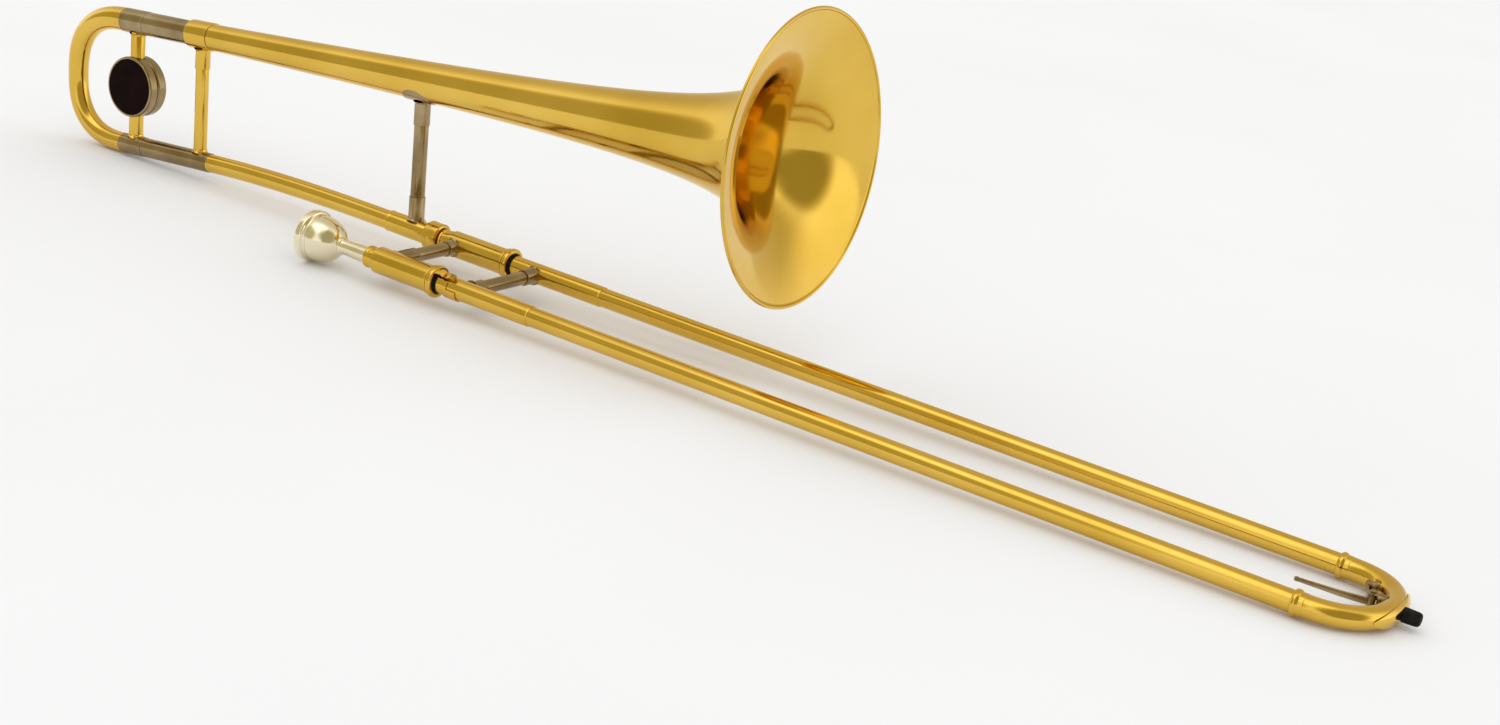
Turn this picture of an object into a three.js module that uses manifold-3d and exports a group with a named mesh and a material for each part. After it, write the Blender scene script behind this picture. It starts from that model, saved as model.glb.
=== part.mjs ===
// A straight tenor trombone: hand slide, bell section, tuning slide and mouthpiece, in millimetres.
// Working frame: X runs forwards along the hand slide, Y from the mouthpiece side to the bell side,
// Z up towards the bell.  x = 0 is the hand brace of the outer slide, y = 0 and z = 0 the bell-side tube.
import * as THREE from 'three';
import { mergeVertices } from 'three/addons/utils/BufferGeometryUtils.js';
import Module from 'manifold-3d';

const wasm = await Module();
wasm.setup();

// ---------------------------------------------------------------- driving dimensions
const NEAR_Y = -87.5;                   // mouthpiece-side slide tube
const FAR_Y = 0;                        // bell-side slide tube
const MIDDLE_Y = (NEAR_Y + FAR_Y) / 2;
const OUTER_TUBE_R = 7.2;
const OUTER_TUBE_BORE = 6.8;
const INNER_TUBE_R = 6.6;
const STOCKING_R = 6.68;                // the last stretch of each inner tube is a little thicker
const INNER_TUBE_BORE = 6.3;
const INNER_TUBE_FRONT = 622;
const STOCKING_LENGTH = 110;
const SLEEVE_R = 7.75;                  // hand sleeve over the rear of each outer tube
const SLEEVE_START = -22;
const BARREL_FRONT = -24;
const SLEEVE_END = 61;
const BARREL_REAR = -82.5;
const BARREL_R = 10.15;
const BARREL_NECK_R = 9.4;              // narrower front end that carries the lock ring or a flange
const BEAD_R = 11.3;
const FRONT_RING_R = 12.2;              // flange or lock ring over the barrel's neck
const CORK_LIP_R = 8.0;                 // what shows of the cork ahead of the barrel
const BARREL_BORE = 8.9;
const RECEIVER_REAR = -91.5;
const CORK_REAR = -58;                  // the cork barrel's hollow starts here
const INNER_BRACE_X = -75.9;
const CROOK_START = 638.8;
const CROOK_DEPTH = 40.5;               // how far the crook's centre line runs past its start
const CROOK_SQUARENESS = 2.24;          // 2 would be an ellipse
const CROOK_STEPS = 14;
const GUARD_HALF_ANGLE = 56;            // at the middle of the guard, narrowing to its ends
const GUARD_OUT = 1.2;                  // how far the guard strap stands off the crook's surface
const CROOK_R = 7.5;
const CROOK_FERRULE_REAR = 632;

const BELL_TILT = THREE.MathUtils.degToRad(5.08);  // the bell's axis rises forwards from the slide's
const BELL_AXIS_HEIGHT = 127.6;         // at x = 0
const LEG_SPACING = 103.5;              // bell axis to the lower leg's axis
const BELL_RIM_S = 207.4;               // stations s run along the bell's axis, forwards
const BELL_RIM_R = 106;
const BELL_START_S = -351;
const BELL_WALL = 0.6;
const FLARE_REACH = 11.1;               // smaller opens later
const FLARE_POWER = 0.573;
const STEM_TAPER = 0.0054;
const REAR_BRACE_S = -363.2;
const FRONT_BRACE_S = -131.8;
const WEIGHT_BRACE_S = -437.3;
const BOW_START_S = -450.3;
const BOW_APEX_S = -507.1;
const BOW_SQUARENESS = 2.48;
const TUNING_SPLIT_S = -425;            // where the tuning slide's ferrules meet the fixed tubes
const BELL_FERRULE_START_S = -375.5;
const BELL_FERRULE_R = 11.6;
const TUNING_SLEEVE_FRONT_S = -357;     // upper sleeve, inside the bell's ferrule
const TUNING_SLEEVES = { upper: { radius: 9.9, bore: 9.55 }, lower: { radius: 8.0, bore: 7.65 } };
const NECKPIPE_START_S = -351;
const NECKPIPE_R = 7.5;
const NECKPIPE_EASE = 2.4;              // larger levels out later
const FERRULE_REAR = -147;
const FERRULE_R = 8.4;                  // neckpipe ferrule that takes the slide's tenon
const TENON_REAR = -136;
const NUT_REAR = -106.5;
const NUT_FRONT = -93.5;
const NUT_R = 11.5;

const MOUTHPIECE_RIM_X = -150;
const RIM_R = 19.8;
const REST_PITCH = THREE.MathUtils.degToRad(0.83); // nose down, so bow and crook both touch the floor

const TUBE_WALL = 0.5;
const GAP = 0.3;                        // left where one piece is shaped round another
const TUBE_SIDES = 16;
const SMALL_SIDES = 12;
const BELL_SIDES = 36;
const DISC_SIDES = 32;

// ---------------------------------------------------------------- materials
const PALETTE = {
  brass: { color: 0xc9982e, roughness: 0.16, metalness: 1 },
  nickelSilver: { color: 0xa3967c, roughness: 0.22, metalness: 1 },
  silver: { color: 0xe6e0d2, roughness: 0.12, metalness: 1 },
  blackRubber: { color: 0x111111, roughness: 0.75, metalness: 0 },
  blackEnamel: { color: 0x160d0c, roughness: 0.3, metalness: 0 },
  cork: { color: 0x9c7248, roughness: 0.9, metalness: 0 },
};

// ---------------------------------------------------------------- building blocks
const group = new THREE.Group();

function addPart(name, geometry, finish) {
  const mesh = new THREE.Mesh(geometry, new THREE.MeshStandardMaterial(PALETTE[finish]));
  mesh.name = name;
  mesh.material.name = finish;
  group.add(mesh);
}

// Merges seams, drops slivers of no area and turns the faces outwards.
function closed(geometry) {
  const bare = new THREE.BufferGeometry();
  bare.setAttribute('position', geometry.getAttribute('position'));
  bare.setIndex(geometry.getIndex());
  const merged = mergeVertices(bare, 1e-4);
  const corners = merged.getIndex().array;
  const kept = [];
  for (let i = 0; i < corners.length; i += 3) {
    const [a, b, c] = [corners[i], corners[i + 1], corners[i + 2]];
    if (a !== b && b !== c && c !== a) {
      kept.push(a, b, c);
    }
  }
  if (signedVolume(merged.getAttribute('position'), kept) < 0) {
    kept.reverse();
  }
  merged.setIndex(kept);
  return merged;
}

function signedVolume(position, corners) {
  const [a, b, c] = [new THREE.Vector3(), new THREE.Vector3(), new THREE.Vector3()];
  let total = 0;
  for (let i = 0; i < corners.length; i += 3) {
    a.fromBufferAttribute(position, corners[i]);
    b.fromBufferAttribute(position, corners[i + 1]);
    c.fromBufferAttribute(position, corners[i + 2]);
    total += a.dot(b.cross(c)) / 6;
  }
  return total;
}

function toManifold(geometry) {
  const solid = closed(geometry);
  return new wasm.Manifold(new wasm.Mesh({
    numProp: 3,
    vertProperties: new Float32Array(solid.getAttribute('position').array),
    triVerts: new Uint32Array(solid.getIndex().array),
  }));
}

function fromManifold(manifold) {
  const mesh = manifold.getMesh();
  const geometry = new THREE.BufferGeometry();
  geometry.setAttribute('position', new THREE.Float32BufferAttribute(mesh.vertProperties, 3));
  geometry.setIndex(Array.from(mesh.triVerts));
  return geometry;
}

function cut(geometry, ...tools) {
  const whole = toManifold(geometry);
  return fromManifold(tools.reduce((left, tool) => left.subtract(toManifold(tool)), whole));
}

function join(...geometries) {
  return fromManifold(geometries.map(toManifold).reduce((all, next) => all.add(next)));
}

function overlap(first, second) {
  return fromManifold(toManifold(first).intersect(toManifold(second)));
}

// A piece turned about X.  Both outlines are lists of [x, radius] running forwards;
// without a bore the piece is solid.
function turned(outline, bore = [], sides = TUBE_SIDES) {
  const first = outline[0];
  const last = outline[outline.length - 1];
  const loop = bore.length
    ? [...outline, ...[...bore].reverse(), first]
    : [[first[0], 0], ...outline, [last[0], 0]];
  const profile = loop.map(([x, radius]) => new THREE.Vector2(radius, x));
  const lathe = new THREE.LatheGeometry(profile, sides);
  return closed(lathe.rotateZ(-Math.PI / 2));
}

function tube(start, end, radius, bore, sides = TUBE_SIDES) {
  return turned([[start, radius], [end, radius]], bore ? [[start, bore], [end, bore]] : [], sides);
}

// A sector of a ring about X, between two angles in degrees counted from +Y towards +Z.
function ringSector(start, end, innerR, outerR, fromAngle, toAngle) {
  const [from, to] = [THREE.MathUtils.degToRad(fromAngle), THREE.MathUtils.degToRad(toAngle)];
  const shape = new THREE.Shape();
  shape.absarc(0, 0, outerR, from, to, false);
  shape.absarc(0, 0, innerR, to, from, true);
  const steps = Math.max(4, Math.round((toAngle - fromAngle) / 22));
  const options = { depth: end - start, bevelEnabled: false, curveSegments: steps };
  const geometry = new THREE.ExtrudeGeometry(shape, options);
  const alongX = new THREE.Matrix4().makeBasis(
    new THREE.Vector3(0, 1, 0), new THREE.Vector3(0, 0, 1), new THREE.Vector3(1, 0, 0));
  return closed(geometry.applyMatrix4(alongX).translate(start, 0, 0));
}

// Rings of points set square to a centre line that lies in a plane with normal `side`.
// `section(k)` gives the ring at station k as [outwards, sideways] pairs.
function ringsAlong(centres, side, section) {
  return centres.map((centre, k) => {
    const before = centres[Math.max(k - 1, 0)];
    const after = centres[Math.min(k + 1, centres.length - 1)];
    const forward = after.clone().sub(before).normalize();
    const outward = new THREE.Vector3().crossVectors(forward, side).normalize();
    return section(k).map(([u, v]) =>
      centre.clone().addScaledVector(outward, u).addScaledVector(side, v));
  });
}

function circle(radius, sides = TUBE_SIDES) {
  const points = [];
  for (let i = 0; i < sides; i += 1) {
    const angle = (2 * Math.PI * i) / sides;
    points.push([radius * Math.cos(angle), radius * Math.sin(angle)]);
  }
  return points;
}

// Joins neighbouring rings of a loop into one closed skin; the last ring joins the first.
function skinAround(rings) {
  const points = rings.flat();
  const count = rings[0].length;
  const corners = [];
  rings.forEach((ring, k) => {
    const here = k * count;
    const next = ((k + 1) % rings.length) * count;
    for (let i = 0; i < count; i += 1) {
      const j = (i + 1) % count;
      corners.push(here + i, next + i, next + j, here + i, next + j, here + j);
    }
  });
  return closed(new THREE.BufferGeometry().setFromPoints(points).setIndex(corners));
}

// A hollow tube along a centre line: up the outside, then back down the bore.
function bentTube(centres, side, radiusAt, wall) {
  const outside = ringsAlong(centres, side, (k) => circle(radiusAt(k)));
  const inside = ringsAlong(centres, side, (k) => circle(radiusAt(k) - wall));
  return skinAround([...outside, ...inside.reverse()]);
}

// A solid bar along a centre line, closed at both ends by flat faces.
function bentBar(centres, side, section) {
  const rings = ringsAlong(centres, side, section);
  const count = rings[0].length;
  const points = rings.flat();
  const corners = [];
  for (let k = 0; k + 1 < rings.length; k += 1) {
    for (let i = 0; i < count; i += 1) {
      const j = (i + 1) % count;
      const [here, next] = [k * count, (k + 1) * count];
      corners.push(here + i, next + i, next + j, here + i, next + j, here + j);
    }
  }
  [0, rings.length - 1].forEach((k) => {
    const outline = section(k).map(([u, v]) => new THREE.Vector2(u, v));
    THREE.ShapeUtils.triangulateShape(outline, []).forEach(([a, b, c]) => {
      const face = [a, b, c].map((i) => k * count + i);
      corners.push(...(k ? face.reverse() : face));
    });
  });
  return closed(new THREE.BufferGeometry().setFromPoints(points).setIndex(corners));
}

// The centre line of a U bend in its own plane, as [forward, sideways] pairs from one leg to the other.
function squareBend(depth, halfWidth, squareness, steps) {
  const points = [];
  for (let i = 0; i <= steps; i += 1) {
    const angle = Math.PI * (i / steps - 0.5);
    const [forward, sideways] = [Math.abs(Math.cos(angle)), Math.abs(Math.sin(angle))];
    const spread = (forward / depth) ** squareness + (sideways / halfWidth) ** squareness;
    const reach = spread ** (-1 / squareness);
    points.push([reach * forward, reach * Math.sin(angle)]);
  }
  return points;
}

// ---------------------------------------------------------------- placing
// From (s along the bell's axis, y, height above it) to the working frame.
const bellFrame = new THREE.Matrix4()
  .makeTranslation(0, 0, BELL_AXIS_HEIGHT)
  .multiply(new THREE.Matrix4().makeRotationY(-BELL_TILT));
const UPPER = 0;
const LOWER = -LEG_SPACING;

function onSlide(geometry, y) {
  return geometry.clone().translate(0, y, 0);
}

function onBell(geometry, height = UPPER) {
  return geometry.clone().translate(0, 0, height).applyMatrix4(bellFrame);
}

// Turns a piece that runs along X into one that hangs down from the bell's axis at station s.
function hanging(geometry, s) {
  return geometry.clone().rotateY(Math.PI / 2).translate(s, 0, 0);
}

// Turns a piece that runs along X into one that runs from the mouthpiece side to the bell side.
function across(geometry, x) {
  return geometry.clone().rotateZ(Math.PI / 2).translate(x, 0, 0);
}

// ---------------------------------------------------------------- inner slide
function innerTube(rear) {
  const stocking = INNER_TUBE_FRONT - STOCKING_LENGTH;
  const outline = [
    [rear, INNER_TUBE_R],
    [stocking - 3, INNER_TUBE_R],
    [stocking, STOCKING_R],
    [INNER_TUBE_FRONT - 1, STOCKING_R],
    [INNER_TUBE_FRONT, INNER_TUBE_R],
  ];
  return turned(outline, [[rear, INNER_TUBE_BORE], [INNER_TUBE_FRONT, INNER_TUBE_BORE]]);
}

function barrel(rearBore, rearBoreEnd, front) {
  const outline = [
    [BARREL_REAR, BARREL_R - 1],
    [BARREL_REAR + 1.5, BARREL_R],
    [front - 7.2, BARREL_R],
    [front - 7.0, BEAD_R - 0.5],
    [front - 6.2, BEAD_R],
    [front - 5.4, BEAD_R - 0.5],
    [front - 5.2, BARREL_NECK_R],
    [front - 0.3, BARREL_NECK_R],
  ];
  const bore = [
    [BARREL_REAR, rearBore],
    [rearBoreEnd, rearBore],
    [rearBoreEnd + 0.4, INNER_TUBE_R + 0.1],
    [CORK_REAR, INNER_TUBE_R + 0.1],
    [CORK_REAR + 0.4, BARREL_BORE],
    [front - 0.3, BARREL_BORE],
  ];
  return turned(outline, bore);
}

function addInnerSlide() {
  const receiverEnd = -62.5;
  addPart('barrel_near', onSlide(barrel(7.35, receiverEnd, BARREL_FRONT), NEAR_Y), 'brass');
  addPart('barrel_far', onSlide(barrel(INNER_TUBE_R + 0.1, receiverEnd, BARREL_FRONT), FAR_Y), 'brass');
  addPart('barrel_flange_far', onSlide(flangeRing(BARREL_FRONT), FAR_Y), 'brass');

  const corkR = BARREL_BORE - 0.2;
  const corkBore = INNER_TUBE_R + 0.15;
  const corkStart = CORK_REAR + 1;
  const cork = turned(
    [[corkStart, corkR], [BARREL_FRONT - 1, corkR], [BARREL_FRONT - 0.6, CORK_LIP_R],
      [SLEEVE_START - GAP, CORK_LIP_R]],
    [[corkStart, corkBore], [SLEEVE_START - GAP, corkBore]]);
  addPart('slide_cork_near', onSlide(cork, NEAR_Y), 'blackRubber');
  addPart('slide_cork_far', onSlide(cork, FAR_Y), 'blackRubber');

  addPart('inner_tube_near', onSlide(innerTube(receiverEnd + 0.6), NEAR_Y), 'nickelSilver');
  addPart('inner_tube_far', onSlide(innerTube(BARREL_REAR + 0.4), FAR_Y), 'nickelSilver');

  const receiver = turned(
    [[RECEIVER_REAR, 7.9], [RECEIVER_REAR + 0.5, 8.4], [RECEIVER_REAR + 3.4, 8.4],
      [RECEIVER_REAR + 3.9, 7.9], [BARREL_REAR - 0.2, 7.9], [BARREL_REAR, 7.2], [receiverEnd, 7.2]],
    [[RECEIVER_REAR, 6.75], [receiverEnd, 6.0]]);
  addPart('mouthpiece_receiver', onSlide(receiver, NEAR_Y), 'brass');
  const leadpipe = turned(
    [[receiverEnd + 0.6, 6.15], [120, 6.15]],
    [[receiverEnd + 0.6, 5.3], [-30, 5.1], [120, 5.75]], SMALL_SIDES);
  addPart('leadpipe', onSlide(leadpipe, NEAR_Y), 'brass');

  addPart('slide_tenon', slideTenon(), 'brass');
  addSlideBrace('inner_brace', INNER_BRACE_X, BARREL_R, { near: 23, far: 8 });
}

function flangeRing(front) {
  const rear = front - 4.6;
  const outline = [[rear, FRONT_RING_R - 0.9], [rear + 0.8, FRONT_RING_R], [front - 0.9, FRONT_RING_R],
    [front, FRONT_RING_R - 0.9]];
  return turned(outline, [[rear, BARREL_NECK_R + 0.2], [front, BARREL_NECK_R + 0.2]]);
}

// The male joint that the bell section turns on, with the thread that the lock nut runs on.
function slideTenon() {
  const thread = [];
  for (let x = NUT_REAR + 6.6; x < NUT_FRONT - 0.6; x += 1.2) {
    thread.push([x, 7.45], [x + 0.6, 7.8]);
  }
  const outline = [
    [TENON_REAR, 6.8],
    [NUT_REAR + 6.1, 6.95],
    ...thread,
    [NUT_FRONT + 0.4, 7.5],
    [NUT_FRONT + 0.6, 8.5],
    [NUT_FRONT + 2.8, 8.5],
    [NUT_FRONT + 3.2, 7.6],
    [NUT_FRONT + 5.6, 7.6],
    [NUT_FRONT + 6.0, 8.7],
    [BARREL_REAR - 1, 9.1],
    [BARREL_REAR - 0.1, 9.1],
  ];
  return turned(outline, [[TENON_REAR, INNER_TUBE_BORE], [BARREL_REAR - 0.1, INNER_TUBE_BORE]]);
}

// A grip across the slide: a tube held in a socket at each end, shaped round the slide's own tubes.
function addSlideBrace(name, x, postR, socketLength) {
  const tubeR = 5.1;
  const socketR = 6.1;
  const nearPost = onSlide(tube(x - 12, x + 12, postR + GAP), NEAR_Y);
  const farPost = onSlide(tube(x - 12, x + 12, postR + GAP), FAR_Y);
  const nearFace = NEAR_Y + postR;
  const farFace = FAR_Y - postR;
  const gripStart = nearFace + socketLength.near - 6;
  const gripEnd = farFace - socketLength.far + 6;
  const grip = across(tube(gripStart, gripEnd, tubeR, tubeR - 0.8, SMALL_SIDES), x);
  const nearSocket = across(turned(
    [[nearFace - 4, socketR], [nearFace + socketLength.near - 0.5, socketR],
      [nearFace + socketLength.near, socketR - 0.4]],
    [[nearFace - 4, tubeR + 0.12], [nearFace + socketLength.near, tubeR + 0.12]], SMALL_SIDES), x);
  const farSocket = across(turned(
    [[farFace - socketLength.far, socketR - 0.4], [farFace - socketLength.far + 0.5, socketR],
      [farFace + 4, socketR]],
    [[farFace - socketLength.far, tubeR + 0.12], [farFace + 4, tubeR + 0.12]], SMALL_SIDES), x);
  addPart(`${name}_tube`, grip, 'nickelSilver');
  addPart(`${name}_socket_near`, cut(nearSocket, nearPost), 'nickelSilver');
  addPart(`${name}_socket_far`, cut(farSocket, farPost), 'nickelSilver');
}

// ---------------------------------------------------------------- slide lock
// At rest the lock's finger stands over the gap in the catch, so the slide is free.
const LOCK_FINGER_ANGLE = 118;
const LOCK_FINGER_HALF_WIDTH = 13;
const CATCH_START_ANGLE = 145;
const CATCH_STOP_ANGLE = 183;
const CATCH_END_ANGLE = 300;
const HOOK_START = 12.8;                // measured forwards from the lock ring's front
const HOOK_END = 16.6;

function addSlideLock() {
  const front = BARREL_FRONT;
  const from = LOCK_FINGER_ANGLE - LOCK_FINGER_HALF_WIDTH;
  const to = LOCK_FINGER_ANGLE + LOCK_FINGER_HALF_WIDTH;
  const ring = flangeRing(front);
  const finger = ringSector(front - 4, front + HOOK_END, 9.9, 11.2, from, to);
  const hook = ringSector(front + HOOK_START, front + HOOK_END, 8.1, 10.2, from, to);
  addPart('slide_lock_ring', onSlide(join(ring, finger, hook), NEAR_Y), 'brass');

  const catchBore = SLEEVE_R + 0.1;
  const lipStart = front + HOOK_START - 3.4;
  const lipEnd = front + HOOK_START - 0.4;
  const lip = ringSector(lipStart, lipEnd, catchBore, 8.8, CATCH_START_ANGLE, CATCH_END_ANGLE);
  const stop = ringSector(lipStart, front + HOOK_END + 4, catchBore, 8.8, CATCH_STOP_ANGLE, CATCH_END_ANGLE);
  addPart('slide_lock_catch', onSlide(join(lip, stop), NEAR_Y), 'brass');
}

// ---------------------------------------------------------------- outer slide
function addOuterSlide() {
  [['near', NEAR_Y], ['far', FAR_Y]].forEach(([side, y]) => {
    const start = SLEEVE_START;
    const jointX = CROOK_START - 4;
    const sleeve = turned(
      [[start, SLEEVE_R - 0.2], [start + 0.4, SLEEVE_R], [SLEEVE_END - 1.5, SLEEVE_R],
        [SLEEVE_END, SLEEVE_R - 0.25]],
      [[start, OUTER_TUBE_R + 0.1], [SLEEVE_END, OUTER_TUBE_R + 0.1]]);
    const ferrule = turned(
      [[CROOK_FERRULE_REAR, 7.7], [CROOK_FERRULE_REAR + 0.8, 8.4], [CROOK_FERRULE_REAR + 3.4, 8.4],
        [CROOK_FERRULE_REAR + 4.4, 8.0], [CROOK_START + 1, 8.0]],
      [[CROOK_FERRULE_REAR, OUTER_TUBE_R + 0.1], [jointX, OUTER_TUBE_R + 0.1],
        [jointX + 0.2, CROOK_R + 0.15], [CROOK_START + 1, CROOK_R + 0.15]]);
    const pipe = tube(start + 0.2, jointX, OUTER_TUBE_R, OUTER_TUBE_BORE);
    addPart(`outer_tube_${side}`, onSlide(pipe, y), 'brass');
    addPart(`hand_sleeve_${side}`, onSlide(sleeve, y), 'brass');
    addPart(`crook_ferrule_${side}`, onSlide(ferrule, y), 'brass');
  });
  addSlideBrace('outer_brace', 0, SLEEVE_R, { near: 12, far: 12 });
  addPart('end_crook', bentTube(crookLine(CROOK_STEPS), UP, () => CROOK_R, TUBE_WALL), 'brass');
  addPart('crook_guard', crookGuard(), 'brass');
  addBumper();
  addWaterKey();
}

const UP = new THREE.Vector3(0, 0, 1);

// Centre line of the crook, with a short straight lead into each ferrule.
function crookLine(steps) {
  const lead = new THREE.Vector3(CROOK_START - 3.6, 0, 0);
  const bend = squareBend(CROOK_DEPTH, -MIDDLE_Y, CROOK_SQUARENESS, steps);
  const middle = bend.map(([forward, sideways]) =>
    new THREE.Vector3(CROOK_START + forward, MIDDLE_Y + sideways, 0));
  return [lead.clone().setY(NEAR_Y), ...middle, lead.clone().setY(FAR_Y)];
}

// The crook's tube grown by a margin and nearly solid, for shaping what is soldered to it.
function crookKeepOut(margin) {
  return bentTube(crookLine(CROOK_STEPS), UP, () => CROOK_R + margin, CROOK_R - 1);
}

// A strap that wraps the outer side of the crook's bend and takes the knocks.
function crookGuard() {
  const line = crookLine(CROOK_STEPS).slice(4, -4);
  const inner = CROOK_R + 0.4;
  const outer = CROOK_R + GUARD_OUT;
  const arcSteps = 5;
  const section = (k) => {
    const along = (k + 0.6) / (line.length + 0.2);
    const halfAngle = THREE.MathUtils.degToRad(GUARD_HALF_ANGLE) * Math.sin(Math.PI * along) ** 0.6;
    const arc = (radius, sign) => Array.from({ length: arcSteps + 1 }, (_, i) => {
      const angle = sign * halfAngle * ((2 * i) / arcSteps - 1);
      return [radius * Math.cos(angle), radius * Math.sin(angle)];
    });
    return [...arc(outer, 1), ...arc(inner, -1)];
  };
  return bentBar(line, UP, section);
}

const CROOK_APEX_X = CROOK_START + CROOK_DEPTH;
const BUMPER_FRONT = 698;

function addBumper() {
  const guardFace = CROOK_APEX_X + CROOK_R + GUARD_OUT;
  const keepOut = crookKeepOut(GUARD_OUT + 0.5);
  const cup = turned([[guardFace - 4, 4.9], [guardFace + 0.3, 4.9], [guardFace + 0.6, 4.7]], [], SMALL_SIDES);
  const rubber = turned(
    [[guardFace + 0.7, 4.7], [BUMPER_FRONT - 1.6, 4.6], [BUMPER_FRONT - 0.4, 3.8], [BUMPER_FRONT, 2.9]],
    [], TUBE_SIDES);
  addPart('bumper_cup', cut(onSlide(cup, MIDDLE_Y), keepOut), 'brass');
  addPart('bumper', onSlide(rubber, MIDDLE_Y), 'blackRubber');
}

// ---------------------------------------------------------------- water key
const KEY_HINGE = new THREE.Vector3(666.5, -43, 0);
const KEY_TIP = new THREE.Vector3(621.5, -49.5, 0);
const KEY_NIPPLE_STEP = 12;             // station of the crook's centre line where the nipple stands
const KEY_BARREL_R = 2.3;
const KEY_HALF_HEIGHT = 5;

function standing(radius, bottom, top, centre, bore = 0) {
  const upright = tube(bottom, top, radius, bore, SMALL_SIDES).rotateY(-Math.PI / 2);
  return upright.translate(centre.x, centre.y, 0);
}

// A flat bar between two points of the slide's plane, its height changing from one end to the other.
function flatBar(from, to, thickness, fromHeights, toHeights) {
  const length = from.distanceTo(to);
  const shape = new THREE.Shape([
    new THREE.Vector2(0, fromHeights[0]), new THREE.Vector2(length, toHeights[0]),
    new THREE.Vector2(length, toHeights[1]), new THREE.Vector2(0, fromHeights[1])]);
  const bar = new THREE.ExtrudeGeometry(shape, { depth: thickness, bevelEnabled: false });
  bar.translate(0, 0, -thickness / 2).rotateX(Math.PI / 2);
  bar.rotateZ(Math.atan2(to.y - from.y, to.x - from.x));
  return bar.translate(from.x, from.y, from.z);
}

function addWaterKey() {
  const line = crookLine(CROOK_STEPS);
  const seat = line[KEY_NIPPLE_STEP];
  const ahead = line[KEY_NIPPLE_STEP + 1].clone().sub(line[KEY_NIPPLE_STEP - 1]).normalize();
  const inward = new THREE.Vector3().crossVectors(UP, ahead).normalize();
  const keepOut = crookKeepOut(0.1);
  const pointing = (geometry) => geometry
    .rotateZ(Math.atan2(inward.y, inward.x)).translate(seat.x, seat.y, seat.z);

  const nippleTop = CROOK_R + 2.2;
  const nipple = pointing(tube(CROOK_R - 2, nippleTop, 3, 1.6, SMALL_SIDES));
  addPart('key_nipple', cut(nipple, keepOut), 'nickelSilver');

  const corkTop = nippleTop + 0.1 + 2.2;
  addPart('key_cork', pointing(tube(nippleTop + 0.1, corkTop, 3.2, 0, SMALL_SIDES)), 'cork');

  const cupOutline = [[corkTop - 1.2, 4.1], [corkTop + 0.6, 4.1], [corkTop + 1.1, 3.4]];
  const corkSeat = tube(corkTop - 2, corkTop + 0.1, 3.4, 0, SMALL_SIDES);
  const cup = pointing(cut(turned(cupOutline, [], SMALL_SIDES), corkSeat));
  const cupBack = seat.clone().addScaledVector(inward, corkTop + 0.7);
  const arm = flatBar(cupBack, KEY_HINGE, 1.5, [-1.8, 1.8], [-2.8, 2.8]);
  const paddle = flatBar(KEY_HINGE, KEY_TIP, 1.5, [-2.8, 2.8], [-1.6, 1.6]);
  const touch = standing(1.6, -1.6, 1.6, KEY_TIP);
  const barrelTube = standing(KEY_BARREL_R, -KEY_HALF_HEIGHT, KEY_HALF_HEIGHT, KEY_HINGE);
  const bore = standing(1.35, -KEY_HALF_HEIGHT - 1, KEY_HALF_HEIGHT + 1, KEY_HINGE);
  addPart('key_lever', cut(join(cup, arm, paddle, touch, barrelTube), bore), 'nickelSilver');

  addPart('key_saddle', keySaddle(keepOut), 'nickelSilver');
  const lugTop = KEY_HALF_HEIGHT + 1.8;
  const pin = standing(1.2, -lugTop - 0.6, lugTop + 0.3, KEY_HINGE);
  const head = standing(2, lugTop + 0.2, lugTop + 1.2, KEY_HINGE);
  addPart('key_screw', join(pin, head), 'nickelSilver');
  addPart('key_spring', keySpring(), 'nickelSilver');
}

// Two lugs that hold the hinge screw, on a foot soldered to the crook's inner side.
function keySaddle(keepOut) {
  const centre = new THREE.Vector3(CROOK_START, MIDDLE_Y, 0);
  const outward = KEY_HINGE.clone().sub(centre).normalize();
  const footEnd = KEY_HINGE.clone().addScaledVector(outward, 10);
  const footStart = KEY_HINGE.clone().addScaledVector(outward, 3.4);
  const lugInner = KEY_HALF_HEIGHT + 0.2;
  const lugOuter = lugInner + 1.4;
  const foot = flatBar(footStart, footEnd, 7, [-lugOuter, lugOuter], [-lugOuter, lugOuter]);
  const lugs = [[lugInner, lugOuter], [-lugOuter, -lugInner]].map(([low, high]) => join(
    flatBar(KEY_HINGE, footEnd, 5, [low, high], [low, high]),
    standing(2.5, low, high, KEY_HINGE)));
  const bore = standing(1.3, -lugOuter - 1, lugOuter + 1, KEY_HINGE);
  return cut(join(foot, ...lugs), keepOut, bore);
}

// A short coil round the upper end of the hinge tube.
function keySpring() {
  const turns = 2;
  const wireR = 0.35;
  const pitch = 0.85;
  const coilR = KEY_BARREL_R + wireR + 0.15;
  const points = [];
  const perTurn = 14;
  for (let i = 0; i <= turns * perTurn; i += 1) {
    const angle = (2 * Math.PI * i) / perTurn;
    const height = KEY_HALF_HEIGHT - 0.45 - (pitch * i) / perTurn;
    points.push(new THREE.Vector3(
      KEY_HINGE.x + coilR * Math.cos(angle), KEY_HINGE.y + coilR * Math.sin(angle), height));
  }
  const wire = new THREE.Shape(circle(wireR, 6).map(([u, v]) => new THREE.Vector2(u, v)));
  const extrudePath = new THREE.CatmullRomCurve3(points);
  const options = { steps: turns * perTurn, extrudePath, bevelEnabled: false };
  return closed(new THREE.ExtrudeGeometry(wire, options));
}

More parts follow.
